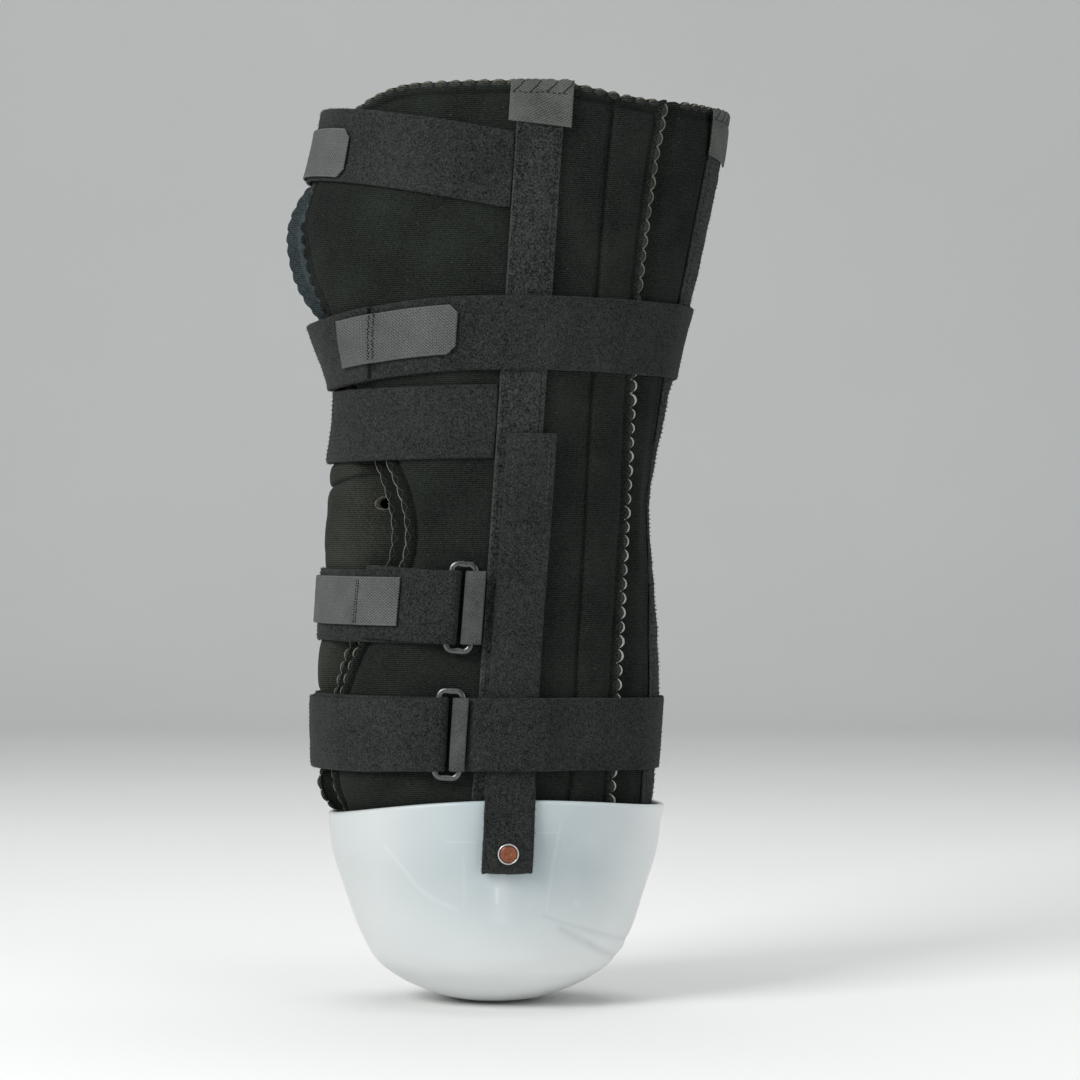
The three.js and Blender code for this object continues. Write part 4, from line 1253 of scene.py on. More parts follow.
def tongue(name):
    coarse = np.arange(TONGUE_FOOT, TONGUE_TOP, COARSE_STEP)
    fine = np.arange(CREASE_HEIGHT - CREASE_FINE, CREASE_HEIGHT + CREASE_FINE, 0.5)
    z = np.unique(np.concatenate([coarse, fine, [TONGUE_TOP]]))[:, None]
    edge = angle_at(z, front_edge(z))
    start = edge + TONGUE_LAP / pace(z, edge)
    share = stations(1, 1 / TONGUE_COLUMNS, 0.016)[None, :]
    angle = mix(start, -np.pi - start, share)
    nearest = np.maximum(angle, -np.pi - angle)
    beyond = (edge - nearest) * pace(z, edge) - FACING_SHOWN
    open_middle = ease(beyond / TONGUE_RISE)
    open_height = ease((z - TONGUE_OPEN_LOW) / TONGUE_RAMP_LOW)
    open_height = open_height * ease((TONGUE_OPEN_HIGH - z) / TONGUE_RAMP_HIGH)
    low = PADDING + FACING + 3 * LAYER_GAP
    lift = mix(-low, -LAYER_GAP, open_height * open_middle)
    tilt = (nearest - CREASE_LEVEL_ANGLE) * CREASE_TILT
    from_crease = np.abs(z - CREASE_HEIGHT - tilt)
    crease = CREASE_DEPTH * np.exp(-from_crease / CREASE_WIDTH) + bell(from_crease, 4)
    ripple = sum(deep * bell(z - at + slope * tilt, wide) for at, slope, deep, wide in RIPPLES)
    lift = lift + (bulge(PUFFS, z) - ripple) * open_middle - crease * ease((beyond + 5) / 6)
    half = PADDING / 2 * rounding(np.minimum(share, 1 - share) * TONGUE_GIRTH, PADDING / 2)
    half = half * rounding(np.minimum(z - TONGUE_FOOT, TONGUE_TOP - z) + 0.2, PADDING / 2)
    middle = lift - PADDING / 2
    piece = slab(
        name,
        skin(z, angle, middle + half + drift(z, angle, 8) * open_middle * 0.8),
        skin(z, angle, middle - half),
        TONGUE_KNIT,
        "tongue_padding",
        np.stack([z + 0 * angle, FAR_IN + 0 * z + 0 * angle], -1),
    )
    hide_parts(name)
    cut_hole(piece)
    return piece


def cut_hole(piece):
    """Cuts the tongue's round hole and lays its frayed rim."""
    angle = angle_at(HOLE_HEIGHT, HOLE_X)
    spot = skin(HOLE_HEIGHT, angle, 0)
    out = unit(skin(HOLE_HEIGHT, angle, 1) - spot)
    turn = np.linspace(0, 2 * np.pi, HOLE_SIDES + 1)[:-1]
    side = unit(np.cross(out, (0, 0, 1)))
    up = np.cross(side, out)
    ring = HOLE_RADIUS * (side * np.cos(turn)[:, None] + up * np.sin(turn)[:, None])
    punch = bpy.data.meshes.new("hole_punch")
    points = np.concatenate([spot + ring + out * PUNCH_REACH, spot + ring - out * PUNCH_REACH]) * MM
    around = np.arange(HOLE_SIDES)
    after = (around + 1) % HOLE_SIDES
    walls = np.stack([around, after, after + HOLE_SIDES, around + HOLE_SIDES], -1).tolist()
    ends = [around[::-1].tolist(), (around + HOLE_SIDES).tolist()]
    punch.from_pydata(points.tolist(), [], walls + ends)
    cutter = bpy.data.objects.new("hole_punch", punch)
    bpy.context.scene.collection.objects.link(cutter)
    rim_line, normals = Face(piece).pierce(spot + ring * HOLE_RIM_SPREAD + out * 4, out)
    cut = piece.modifiers.new("hole", "BOOLEAN")
    cut.operation = "DIFFERENCE"
    cut.object = cutter
    bpy.context.view_layer.objects.active = piece
    bpy.ops.object.modifier_apply(modifier=cut.name)
    bpy.data.objects.remove(cutter)
    bpy.data.meshes.remove(punch)
    wall = np.stack([rim_line - ring * 0.1 - out * deep for deep in HOLE_LINING_DEPTHS])
    lining = grid_faces(len(wall), HOLE_SIDES, closed=True)
    make_piece("knee_tongue_hole_lining", wall.reshape(-1, 3), lining, FELT, "tongue_padding")
    rim_line = np.concatenate([rim_line, rim_line[:2]])[None]
    normals = np.concatenate([normals, normals[:2]])[None]
    chance = np.random.default_rng(4).uniform(-1, 1, rim_line.shape[1])
    frayed = HOLE_RIM_RADIUS + HOLE_RIM_FRAY * chance
    tubes("knee_tongue_hole_rim", rim_line, normals, frayed[None], LINE_THREAD, "grey_twill")


# Bands
LOOP_TAPE = (LOOPS, "loop_tape")
BRUSHED_STRAP = (BRUSHED, "brushed_strap")
POCKET_TWILL = (TAB_TWILL, "grey_twill")
CHAPE_TWILL = (TWILL, "grey_twill")
HOOK_TAPE = (HOOKS, "hook_tape")
SUSPENSION_STEP = 1.5
TAPE_PILE = 0.12
STRAP_PILE = 0.07
TAB_PILE = 0.05

# How far out of the cloth a sewn line starts before it is pressed on to it
TAPE_PRESS = 4
STRAP_PRESS = 9
TAB_PRESS = 3

# Stitches: length, gap, radius of the thread
STAY_STITCH = (2.4, 1.0, 0.2)
POCKET_STITCH = (1.4, 1.4, 0.22)
EDGE_STITCH = (0.9, 1.6, 0.2)
BAR_STITCH = (1.7, 0.5, 0.2)
HOOK_STITCH = (1.0, 0.9, 0.26)
STITCH_POINTS = 6

# Loose fibres: how many, how long, how many more at the edges, seed
LOOP_FIBRES = (6000, 1.2, 1.0, 21)
SUSPENSION_FIBRES = (4200, 0.9, 2.0, 31)
STRAP_FIBRES = (6500, 0.9, 3.0, 41)
FIBRE_SPREAD = 0.3
FIBRE_LEAN = 0.55
FIBRE_HALF_WIDTHS = (0.07, 0.03)

# How far a face looks outwards where fibres are thicker on it, and where they leave off
FIBRE_EDGE = 0.75
FIBRE_LIMIT = -0.2


def band(name, path, shape, chart, cloth, step=STRAP_STEP, pile=0, clip=0, relief=None, slide=None):
    """A flat band along a path of (along, lift) points, put in space by chart(along, lift, across).
    shape is its thickness and width, cloth its finish and a slot name that is not used, clip what is cut off
    its end's corners."""
    thickness, width = shape
    run = np.concatenate([[0], np.cumsum(np.linalg.norm(np.diff(path, axis=0), axis=1))])
    edge = thickness / 2
    at = stations(run[-1], step, edge)
    along, lift = (np.interp(at, run, path[:, i])[:, None] for i in range(2))
    heading = unit(np.stack([np.gradient(along[:, 0], at), np.gradient(lift[:, 0], at)], -1))
    across = (stations(width, step, edge) - width / 2)[None, :]
    tip = np.clip(clip - (run[-1] - at), 0, None)[:, None]
    across = across * (width - 2 * tip) / width
    half = edge * rounding(np.minimum(at, run[-1] - at), edge)[:, None]
    half = half * rounding((width - 2 * tip) / 2 - np.abs(across), edge)
    aside = slide(at)[:, None] if slide else 0
    faces = []
    for sign in (1, -1):
        out = half
        if pile:
            seed = sum(map(ord, name)) + sign
            out = half * (1 + pile * (mottle(half.shape, 1, seed) + mottle(half.shape, 4, seed + 9)))
        if relief:
            out = out + relief(along, across) * (half / edge)
        out = sign * out
        faces.append(chart(along - heading[:, 1:] * out, lift + heading[:, :1] * out, across + aside))
    lay = np.stack([at[:, None] + 0 * across, across + 0 * at[:, None]], -1)
    piece = slab(name, *faces, *cloth, lay)
    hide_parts(name)
    return piece


def sweep(start, end, lift_at):
    along = np.linspace(start, end, max(3, int(abs(end - start) / PATH_STEP)))
    return np.stack([along, lift_at(along) + 0 * along], -1)


def tape_chart(middle_at, side):
    def place(z, lift, across):
        angle = middle_at(z)
        return mirrored(skin(z, angle + across / pace(z, angle, lift), lift), side)

    return place


def stay_angle(z):
    return angle_at(z, TAPES("stay", z))


def suspension_angle(z):
    return angle_at(z, TAPES("suspension", z))


def rear_angle(z):
    return np.radians(TAPES("rear", z))


def fibres(name, piece, kind, cloth):
    """Short loose fibres standing off a brushed face, most of them at its edges."""
    count, length, edge_bias, seed = kind
    mesh = piece.data
    total = len(mesh.polygons)
    centres = np.empty(total * 3)
    normals = np.empty(total * 3)
    areas = np.empty(total)
    mesh.polygons.foreach_get("center", centres)
    mesh.polygons.foreach_get("normal", normals)
    mesh.polygons.foreach_get("area", areas)
    centres = centres.reshape(-1, 3) / MM
    normals = normals.reshape(-1, 3)
    outward = unit(centres * (1, 1, 0))
    facing_out = np.einsum("ij,ij->i", normals, outward)
    weight = areas * (1 + edge_bias * (facing_out < FIBRE_EDGE)) * (facing_out > FIBRE_LIMIT)
    chance = np.random.default_rng(seed)
    picked = chance.choice(total, count, p=weight / weight.sum())
    base = centres[picked] + chance.normal(0, FIBRE_SPREAD, (count, 3))
    normal = normals[picked]
    base -= normal * np.einsum("ij,ij->i", base - centres[picked], normal)[:, None]
    lean = chance.normal(0, FIBRE_LEAN, (count, 3))
    long = chance.uniform(0.5, 1.0, (count, 1)) * length
    rise = unit(normal + lean) * long
    line = np.stack([base, base + rise], 1)
    across = unit(np.cross(rise, lean + 0.2))[:, None]
    wide = np.array(FIBRE_HALF_WIDTHS)[None, :, None]
    points = np.stack([line - across * wide, line + across * wide], 2).reshape(-1, 3)
    one = grid_faces(2, 2)
    faces = (one[None] + np.arange(count)[:, None, None] * 4).reshape(-1, 4)
    return make_piece(name, points, faces, *cloth)


def stitches(name, piece, lines, stitch, finish):
    """Dashed stitching pressed on to a piece along lines of points."""
    length, gap, radius = stitch
    share = np.linspace(0, 1, STITCH_POINTS)
    dashes = []
    for line in lines:
        points, at = along_line(np.asarray(line), 0.2)
        starts = np.arange(0, at[-1] - length, length + gap)
        spots = starts[:, None] + share * length
        dashes.append(np.stack([np.interp(spots, at, points[:, i]) for i in range(3)], -1))
    dashes = np.concatenate(dashes)
    hump = np.sin(np.pi * share) ** 0.6
    dashes, normals = Face(piece).press(dashes, -0.1 + hump * (radius * 0.9 + 0.05))
    return tubes(name, dashes, normals, radius, finish, "grey_twill", 4)


STAY_SEWN_IN = 2.4
STAY_SEAM_DEPTH = 0.35


def stay_strip(name, middle_at, side, top):
    path = sweep(STAY_FOOT, top, lambda z: TAPE_GAP + TAPE / 2)
    chart = tape_chart(middle_at, side)
    inset = TAPE_WIDTH / 2 - STAY_SEWN_IN

    def sewn_in(z, across):
        return -STAY_SEAM_DEPTH * bell(np.abs(across) - inset, 0.8)

    piece = band(name, path, (TAPE, TAPE_WIDTH), chart, LOOP_TAPE, pile=TAPE_PILE, relief=sewn_in)
    fibres(f"{name}_loops", piece, LOOP_FIBRES, LOOP_TAPE)
    rows = np.arange(STAY_FOOT + 2, top - 2, 2.0)
    lines = [chart(rows, TAPE_PRESS, edge * inset) for edge in (-1, 1)]
    stitches(f"{name}_stitches", piece, lines, STAY_STITCH, DARK_THREAD)
    return piece


TAB_SLOPE = 0.11
TAB_SEAM_DROP = 6.2
TAB_SEAM_DEPTH = 0.3
TAB_WAVE = 1.3
TAB_WAVE_RUN = 5
OVERLOCK_STEP = 8.2
OVERLOCK_REACH = 5.4
OVERLOCK_BOW = 0.9
OVERLOCK_RADIUS = 0.2


def pocket_tab(name, middle_at, side, top, length):
    lift = 2 * TAPE_GAP + TAPE + POCKET_TAB / 2
    path = sweep(top - length, top, lambda z: lift)
    straight = tape_chart(middle_at, side)

    def chart(z, height, across):
        round_ = np.abs(np.sin(np.pi * across / LOBE)) ** LOBE_POWER
        wave = TAB_WAVE * (round_ - 0.6) * ease((z - top + TAB_WAVE_RUN) / TAB_WAVE_RUN)
        return straight(z - TAB_SLOPE * across * (top - z) / length + wave, height, across)

    def sewn_in(z, across):
        return -TAB_SEAM_DEPTH * bell(z - top + TAB_SEAM_DROP, 0.9)

    shape = (POCKET_TAB, POCKET_TAB_WIDTH)
    piece = band(name, path, shape, chart, POCKET_TWILL, TAB_STEP, TAB_PILE, relief=sewn_in)
    half = POCKET_TAB_WIDTH / 2 - 1
    across = np.linspace(-half, half, 30)
    seam = chart(top - TAB_SEAM_DROP + 0 * across, lift + TAB_PRESS, across)
    stitches(f"{name}_stitches", piece, [seam], POCKET_STITCH, DARK_THREAD)
    share = np.linspace(0, 1, 9)[None, :]
    starts = np.arange(-half, half - 4, OVERLOCK_STEP)[:, None]
    bow = starts + OVERLOCK_REACH * share + OVERLOCK_BOW * np.sin(np.pi * share)
    lines = chart(top - TAB_SEAM_DROP * (1 - share) + 0 * bow, lift + TAB_PRESS, bow)
    lines, normals = Face(piece).press(lines, 0.08)
    tubes(f"{name}_overlock", lines, normals, OVERLOCK_RADIUS, DARK_THREAD, "grey_twill")
    return piece


# Cup
def cup_curve(share):
    """Point and run of the cup's outside at a share of the way from rim to bottom."""
    share = np.asarray(share, float)
    last = len(CUP) - 1
    at = np.clip(share, 0, 1) * last
    i = np.clip(at.astype(int), 0, last - 1)
    t = (at - i)[..., None]
    before, start = CUP[np.maximum(i - 1, 0)], CUP[i]
    end, after = CUP[i + 1], CUP[np.minimum(i + 2, last)]
    before = np.where((i > 0)[..., None], before, start)
    after = np.where((i < last - 1)[..., None], after, end)
    v0 = (end - before) / 2
    v1 = (after - start) / 2
    rise = end - start
    point = start + v0 * t + (3 * rise - 2 * v0 - v1) * t**2 + (v0 + v1 - 2 * rise) * t**3
    run = v0 + 2 * (3 * rise - 2 * v0 - v1) * t + 3 * (v0 + v1 - 2 * rise) * t**2
    return point, unit(run)


def rim_shift(angle):
    return RIM_MIDDLE + RIM_SIDE_RISE * np.cos(2 * angle) + RIM_BACK_RISE * np.sin(angle) - CUP[0, 1]


def cup_points(share, angle, inset):
    point, run = cup_curve(share)
    reach = np.maximum(point[..., 0] + run[..., 1] * inset, 0.02)
    z = point[..., 1] - run[..., 0] * inset
    z = z + rim_shift(angle) * ease((point[..., 1] - CUP[0, 1] + RIM_BLEND) / RIM_BLEND)
    return np.stack([reach * np.sin(angle), -CUP_FLAT * reach * np.cos(angle), z], -1)


# Creases pressed into the outer side of the cup: ends in X and height, and how far each stands out
CUP_CREASES = (
    ((25, 45.4), (46, 37.7), -0.25),
    ((46, 37.7), (68.5, 28), -0.45),
    ((33.3, 38.8), (47, 30.2), -0.3),
    ((47, 30.2), (62.5, 19), -0.6),
    ((48, 34), (66, 24), 0.35),
)
CUP_CREASE_WIDTH = 1.7

# The cup's finer columns where it is creased, in degrees, and how many there and in the rest
CREASED_DEGREES = (15, 85)
CREASED_COLUMNS = 64
PLAIN_COLUMNS = 96

# The cup's courses: share of the way from rim to bottom where each stretch starts and ends, and how many
CUP_COURSES = ((0, 0.16, 16), (0.16, 0.5, 42), (0.5, 1, 28))

# The rim's corner that curls out at the back: degrees, spread, foot, rise and how far out
CURL_DEGREES = 84
CURL_SPREAD = 0.24
CURL_FOOT = 86
CURL_RISE = 12
CURL_OUT = 1.8
CUP_LIP_RISE = 1.2
CUP_LIP_STEPS = 7
CUP_SWAY = 0.3


def crease_out(x, z, start, end, out):
    """How far one crease moves the cup's wall at each place."""
    start, end = np.array(start), np.array(end)
    run = end - start
    share = np.clip(((x - start[0]) * run[0] + (z - start[1]) * run[1]) / (run @ run), 0, 1)
    away = np.hypot(x - start[0] - share * run[0], z - start[1] - share * run[1])
    return out * bell(away, CUP_CREASE_WIDTH)


def end_cup():
    near, far = np.radians(CREASED_DEGREES)
    creased = np.linspace(near, far, CREASED_COLUMNS)
    plain = np.linspace(far, near + 2 * np.pi, PLAIN_COLUMNS)[1:-1]
    angle = np.concatenate([creased, plain])[None, :]
    around = angle.size
    share = np.concatenate([[0], *(np.linspace(*stretch)[1:] for stretch in CUP_COURSES)])[:, None]
    share, angle = np.broadcast_arrays(share, angle)
    layers = []
    for inset in (0, CUP_WALL):
        points = cup_points(share, angle, inset)
        x, y, z = points[..., 0], points[..., 1], points[..., 2]
        out = sum(crease_out(x, z, *crease) for crease in CUP_CREASES) * (y < 5)
        out = out + CUP_SWAY * np.sin(3 * angle + z / 11) * np.sin(z / 17) * ease(share / 0.2)
        curl = bell(angle - np.radians(CURL_DEGREES), CURL_SPREAD) * ease((z - CURL_FOOT) / CURL_RISE)
        normal = unit(np.stack([np.sin(angle), -np.cos(angle), 0 * angle], -1))
        layers.append(points + normal * (out + CURL_OUT * curl)[..., None])
    lip = []
    for turn in np.linspace(0, np.pi, CUP_LIP_STEPS)[1:-1]:
        middle = (layers[0][0] + layers[1][0]) / 2
        across = (layers[0][0] - layers[1][0]) / 2
        lip.append(middle + across * np.cos(turn) + np.array([0, 0, CUP_LIP_RISE]) * np.sin(turn))
    courses = np.concatenate([layers[0][::-1], np.stack(lip), layers[1]])
    faces = grid_faces(len(courses), around, closed=True)
    size = len(courses) * around
    points = np.concatenate([courses.reshape(-1, 3), courses[0].mean(0)[None], courses[-1].mean(0)[None]])
    loop = np.arange(around)
    after = (loop + 1) % around
    last = size - around
    floors = [np.stack([loop * 0 + size, after, loop], -1)]
    floors.append(np.stack([loop * 0 + size + 1, loop + last, after + last], -1))
    piece = make_cup(points, faces, floors)
    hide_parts("end_cup")
    return piece


def make_cup(points, quads, fans):
    """The cup's mesh: courses of quads with a fan of triangles at the middle of each floor."""
    mesh = bpy.data.meshes.new("milky_end_cup")
    triangles = np.concatenate(fans).tolist()
    mesh.from_pydata((points * MM).tolist(), [], quads.tolist() + triangles)
    mesh.validate()
    mesh.shade_smooth()
    mesh.materials.append(MILKY)
    piece = bpy.data.objects.new("milky_end_cup", mesh)
    bpy.context.scene.collection.objects.link(piece)
    bpy.context.view_layer.objects.active = piece
    bpy.ops.object.mode_set(mode="EDIT")
    bpy.ops.mesh.select_all(action="SELECT")
    bpy.ops.mesh.normals_make_consistent(inside=False)
    bpy.ops.object.mode_set(mode="OBJECT")
    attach(piece, BODY)
    return piece


def cup_reach(z):
    shares = np.linspace(0, 0.8, 600)
    point, _ = cup_curve(shares)
    return np.interp(-np.asarray(z, float), -point[:, 1], point[:, 0])


def cup_lift(z):
    x = TAPES("suspension", z)
    outside = CUP_FLAT * np.sqrt(cup_reach(z) ** 2 - x**2)
    return outside + skin(z, suspension_angle(z), 0)[..., 1]


def suspension_lift(z):
    on_tape = 2 * TAPE_GAP + TAPE + STRAP / 2
    on_cup = cup_lift(np.minimum(z, RIM_REST)) + 2 * TAPE_GAP + STRAP / 2
    doubled = DOUBLED * ease((UNDERFOLD_TOP + UNDERFOLD_CLEAR - z) / UNDERFOLD_RAMP)
    return mix(on_cup + doubled, on_tape, ease((z - RIM_REST) / RIM_RAMP))


BAR_HEIGHT = 239
BAR_DEPTH = 0.5
SUSPENSION_SEWN_IN = 2.8
SUSPENSION_SEAM_DEPTH = 0.3
SUSPENSION_HEM = 4


def suspension_strap(name, side):
    path = sweep(SUSPENSION_TOP, SUSPENSION_FOOT, suspension_lift)
    radius = DOUBLED / 2
    turn = np.linspace(0, np.pi, TURN_STEPS)[1:]
    foot = path[-1]
    fold = np.stack([foot[0] - radius * np.sin(turn), foot[1] - radius * (1 - np.cos(turn))], -1)
    fold_lift = suspension_lift(SUSPENSION_FOOT) - 2 * radius - cup_lift(SUSPENSION_FOOT)
    under = sweep(SUSPENSION_FOOT + 1, UNDERFOLD_TOP, lambda z: cup_lift(z) + fold_lift)
    chart = tape_chart(suspension_angle, side)
    inset = SUSPENSION_WIDTH / 2 - SUSPENSION_SEWN_IN

    def sewn_in(z, across):
        bar = -BAR_DEPTH * bell(z - BAR_HEIGHT, 1.3)
        return bar - SUSPENSION_SEAM_DEPTH * bell(np.abs(across) - inset, 0.8)

    whole = np.concatenate([path, fold, under])
    shape = (STRAP, SUSPENSION_WIDTH)
    piece = band(name, whole, shape, chart, BRUSHED_STRAP, SUSPENSION_STEP, STRAP_PILE, relief=sewn_in)
    fibres(f"{name}_pile", piece, SUSPENSION_FIBRES, BRUSHED_STRAP)
    hem = SUSPENSION_TOP - SUSPENSION_HEM
    rows = np.arange(hem, BAR_HEIGHT, -2.0)
    across = np.linspace(-inset, inset, 20)
    lines = [chart(rows, STRAP_PRESS, edge * inset) for edge in (-1, 1)]
    lines.append(chart(hem + 0 * across, STRAP_PRESS, across))
    stitches(f"{name}_stitches", piece, lines, EDGE_STITCH, STRAP_THREAD)
    bar = chart(BAR_HEIGHT + 0 * across, STRAP_PRESS, across)
    stitches(f"{name}_bar", piece, [bar], BAR_STITCH, DARK_THREAD)
    return piece


# Straps and rings
def strap_height(name, angle):
    side, front, back, bend = HEIGHTS[name]
    forward = -np.sin(angle)
    ahead = mix(side, front, np.clip(forward, 0, 1) ** bend)
    return np.where(forward > 0, ahead, mix(side, back, forward**2))


# Straps that turn upright at an overlapped end: the end's X, the lean taken back, the tip at the front
THIGH_LOWER_END = -61
UPRIGHT = {"thigh_lower": (THIGH_LOWER_END, 0.24, 0.1)}
UPRIGHT_REACH = 40


def strap_chart(name, girth, rise=0):
    end_x, taken, tipped = UPRIGHT.get(name, (0, 0, 0))
    end = girth.near(end_x)

    def place(length, lift, across):
        lean = girth.lean * np.cos(girth.angle(length)) + taken * bell(length - end, UPRIGHT_REACH)
        angle = girth.angle(length + lean * (rise + across))
        stands = 1 - tipped * np.sin(angle).clip(-1, 0) ** 2
        return skin(strap_height(name, angle) + (rise + across) * stands, angle, lift)

    return place


PUSH_CLEAR = 2
PUSH_RAMP = 14
REAR_TAPE_SPARE = 3


def pushed(length, tapes):
    """How far a strap is pushed out by the tapes that it crosses."""
    most = 0
    for middle, half, height in tapes:
        ramp = 1 - (np.abs(length - middle) - half - PUSH_CLEAR) / PUSH_RAMP
        most = np.maximum(most, height * ease(ramp))
    return most


def tapes_under(girth, with_suspension, laps):
    z = girth.z
    stay, hung = TAPES("stay", z), TAPES("suspension", z)
    one = TAPE + TAPE_GAP
    two = one + STRAP + 2 * TAPE_GAP
    half = TAPE_WIDTH / 2
    tapes = [(girth.near(stay), half, one), (girth.far_back(stay), half, one)]
    tapes.append((girth.length(rear_angle(z)), half + REAR_TAPE_SPARE, one))
    if with_suspension:
        wide = SUSPENSION_WIDTH / 2
        tapes += [(girth.near(hung), wide, two), (girth.far_back(hung), wide, two)]
    return [(middle + laps * girth.round, wide, height) for middle, wide, height in tapes]


RING_LIFT = TAPE_GAP + STRAP + RING_GAP + RING_THICK / 2
BAR_SPREAD = (RING_WIDTH - RING_BAR) / 2
SKEW_START = 6
SKEW_RUN = 60


def bar_turn(middle, heading, low):
    radius = RING_LIFT - low
    turn = np.pi * (np.linspace(0, 1, TURN_STEPS) - 0.5)
    return np.stack([middle + heading * radius * np.cos(turn), RING_LIFT + radius * np.sin(turn)], -1)


def ring_strap(name, girth, start, ring, heading, end, tapes=(), skew=0):
    middle = ring - heading * (BAR_SPREAD - TURN_SHIFT)

    def low(length):
        return TAPE_GAP + STRAP / 2 + pushed(length, tapes)

    def high(length):
        fall = ease((np.abs(length - middle) - RING_BAR - 2) / FOLD_FALL)
        return mix(2 * RING_LIFT - TAPE_GAP - STRAP / 2, low(length) + DOUBLED, fall)

    path = [sweep(start, middle, low)[:-1], bar_turn(middle, heading, TAPE_GAP + STRAP / 2)]
    path.append(sweep(middle, end, high)[1:])
    turned_at = abs(middle - start)

    def slide(at):
        return skew * ease((at - turned_at - SKEW_START) / SKEW_RUN)

    piece = band(
        f"{name}_strap",
        np.concatenate(path),
        (STRAP, STRAP_WIDTH),
        strap_chart(name, girth),
        BRUSHED_STRAP,
        pile=STRAP_PILE,
        slide=slide,
    )
    fibres(f"{name}_strap_pile", piece, STRAP_FIBRES, BRUSHED_STRAP)
    return piece


def ring_chape(name, girth, ring, heading, reach):
    middle = ring + heading * (BAR_SPREAD - TURN_SHIFT)
    end = ring + heading * reach
    low = TAPE_GAP + CHAPE / 2

    def high(length):
        fall = ease((np.abs(length - middle) - RING_BAR - 1) / CHAPE_FALL)
        return mix(2 * RING_LIFT - low, low + CHAPE + FOLD_GAP, fall)

    path = [sweep(end, middle, lambda length: low)[:-1], bar_turn(middle, -heading, low)]
    path.append(sweep(middle, end, high)[1:])
    chart = strap_chart(name, girth)
    shape = (CHAPE, STRAP_WIDTH)
    return band(f"{name}_chape", np.concatenate(path), shape, chart, CHAPE_TWILL, TAB_STEP)


CORNER_POINTS = 9
SHORT_SIDE_POINTS = 8
LONG_SIDE_POINTS = 14
WIRE_SIDES = 16
WIRE_POWER = 0.8


def oblong(width, height, corner):
    """Points round a rounded oblong, anticlockwise from the top of its right side."""
    x, y = width / 2 - corner, height / 2 - corner
    points = []
    for quarter, (sign_x, sign_y) in enumerate(((1, 1), (-1, 1), (-1, -1), (1, -1))):
        turn = np.linspace(0, np.pi / 2, CORNER_POINTS) + quarter * np.pi / 2
        centre = np.array([sign_x * x, sign_y * y])
        points.append(centre + corner * np.stack([np.cos(turn), np.sin(turn)], -1))
        if quarter in (0, 2):
            middle = np.linspace(1, -1, SHORT_SIDE_POINTS)[1:-1, None] * np.array([[x * sign_x, 0]])
            points.append(middle + np.array([[0, sign_y * height / 2]]))
        else:
            middle = np.linspace(1, -1, LONG_SIDE_POINTS)[1:-1, None] * np.array([[0, y * sign_y]])
            points.append(middle + np.array([[sign_x * width / 2, 0]]))
    return np.concatenate(points)


def squared(wave):
    """A sine or cosine that turns a circle a little square."""
    return np.sign(wave) * np.abs(wave) ** WIRE_POWER


def wire_ring(name, girth, ring):
    path = oblong(RING_WIDTH - RING_BAR, RING_HEIGHT - RING_BAR, RING_CORNER - RING_BAR / 2)
    chart = strap_chart(name, girth)
    along = unit(chart(ring + 3, RING_LIFT, 0) - chart(ring - 3, RING_LIFT, 0))
    top, foot = (chart(ring, RING_LIFT, edge * STRAP_WIDTH / 2) for edge in (1, -1))
    up = unit(top - foot)
    out = unit(np.cross(along, up))
    along = np.cross(up, out)
    spot = (top + foot) / 2
    run = unit(np.roll(path, -1, 0) - np.roll(path, 1, 0))
    side = np.stack([run[:, 1], -run[:, 0]], -1)
    turn = np.linspace(0, 2 * np.pi, WIRE_SIDES, endpoint=False)
    flat = path[:, None] + side[:, None] * (RING_BAR / 2 * squared(np.cos(turn)))[None, :, None]
    high = (RING_THICK / 2 * squared(np.sin(turn)))[None, :, None]
    points = spot + flat[..., :1] * along + flat[..., 1:] * up + high * out
    points = np.concatenate([points, points[:1]]).reshape(-1, 3)
    faces = grid_faces(len(path) + 1, WIRE_SIDES, closed=True)
    piece = make_piece(f"{name}_ring_wire", points, faces, RING_METAL, "dark_metal")
    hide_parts(f"{name}_ring")
    return piece


TAB_SEAMS = (3.4, 6.2)
TAB_FALL = 6
SEAM_TURNS = 22
SEAM_SWING = 0.5


def hook_tab(name, girth, start, fold, end, rise):
    top = TAPE_GAP + STRAP + TAB_GAP + HOOK_TAB / 2
    onward = np.sign(end - start)

    def lift(length):
        return top + DOUBLED * (1 - ease(((length - fold) * onward - 0.5) / TAB_FALL))

    chart = strap_chart(name, girth, rise)
    path = sweep(start, end, lift)
    shape = (HOOK_TAB, HOOK_TAB_WIDTH)
    piece = band(f"{name}_hook_tab", path, shape, chart, HOOK_TAPE, TAB_STEP, TAB_PILE, HOOK_TAB_CLIP)
    half = HOOK_TAB_WIDTH / 2 - 1
    rows = np.linspace(-half, half, SEAM_TURNS)
    zigzag = np.where(np.arange(SEAM_TURNS) % 2, SEAM_SWING, -SEAM_SWING)
    above = top + DOUBLED + TAB_PRESS
    lines = [chart(fold + onward * past + zigzag, above, rows) for past in TAB_SEAMS]
    stitches(f"{name}_hook_tab_stitches", piece, lines, HOOK_STITCH, DARK_THREAD)
    return piece


def ringed(name, shape, tab, reach):
    """A strap with its ring, chape and hook tab. Its places are lengths round the wrap."""
    girth = girths[name]
    ring_strap(name, girth, **shape)
    wire_ring(name, girth, shape["ring"])
    ring_chape(name, girth, shape["ring"], shape["heading"], reach)
    hook_tab(name, girth, fold=shape["end"], **tab)


# Rivets
LATHE_SIDES = 40
DENT_RADIUS = 1.4
DENT_FOOT = 1.2
RIVET_DENT = 0.3


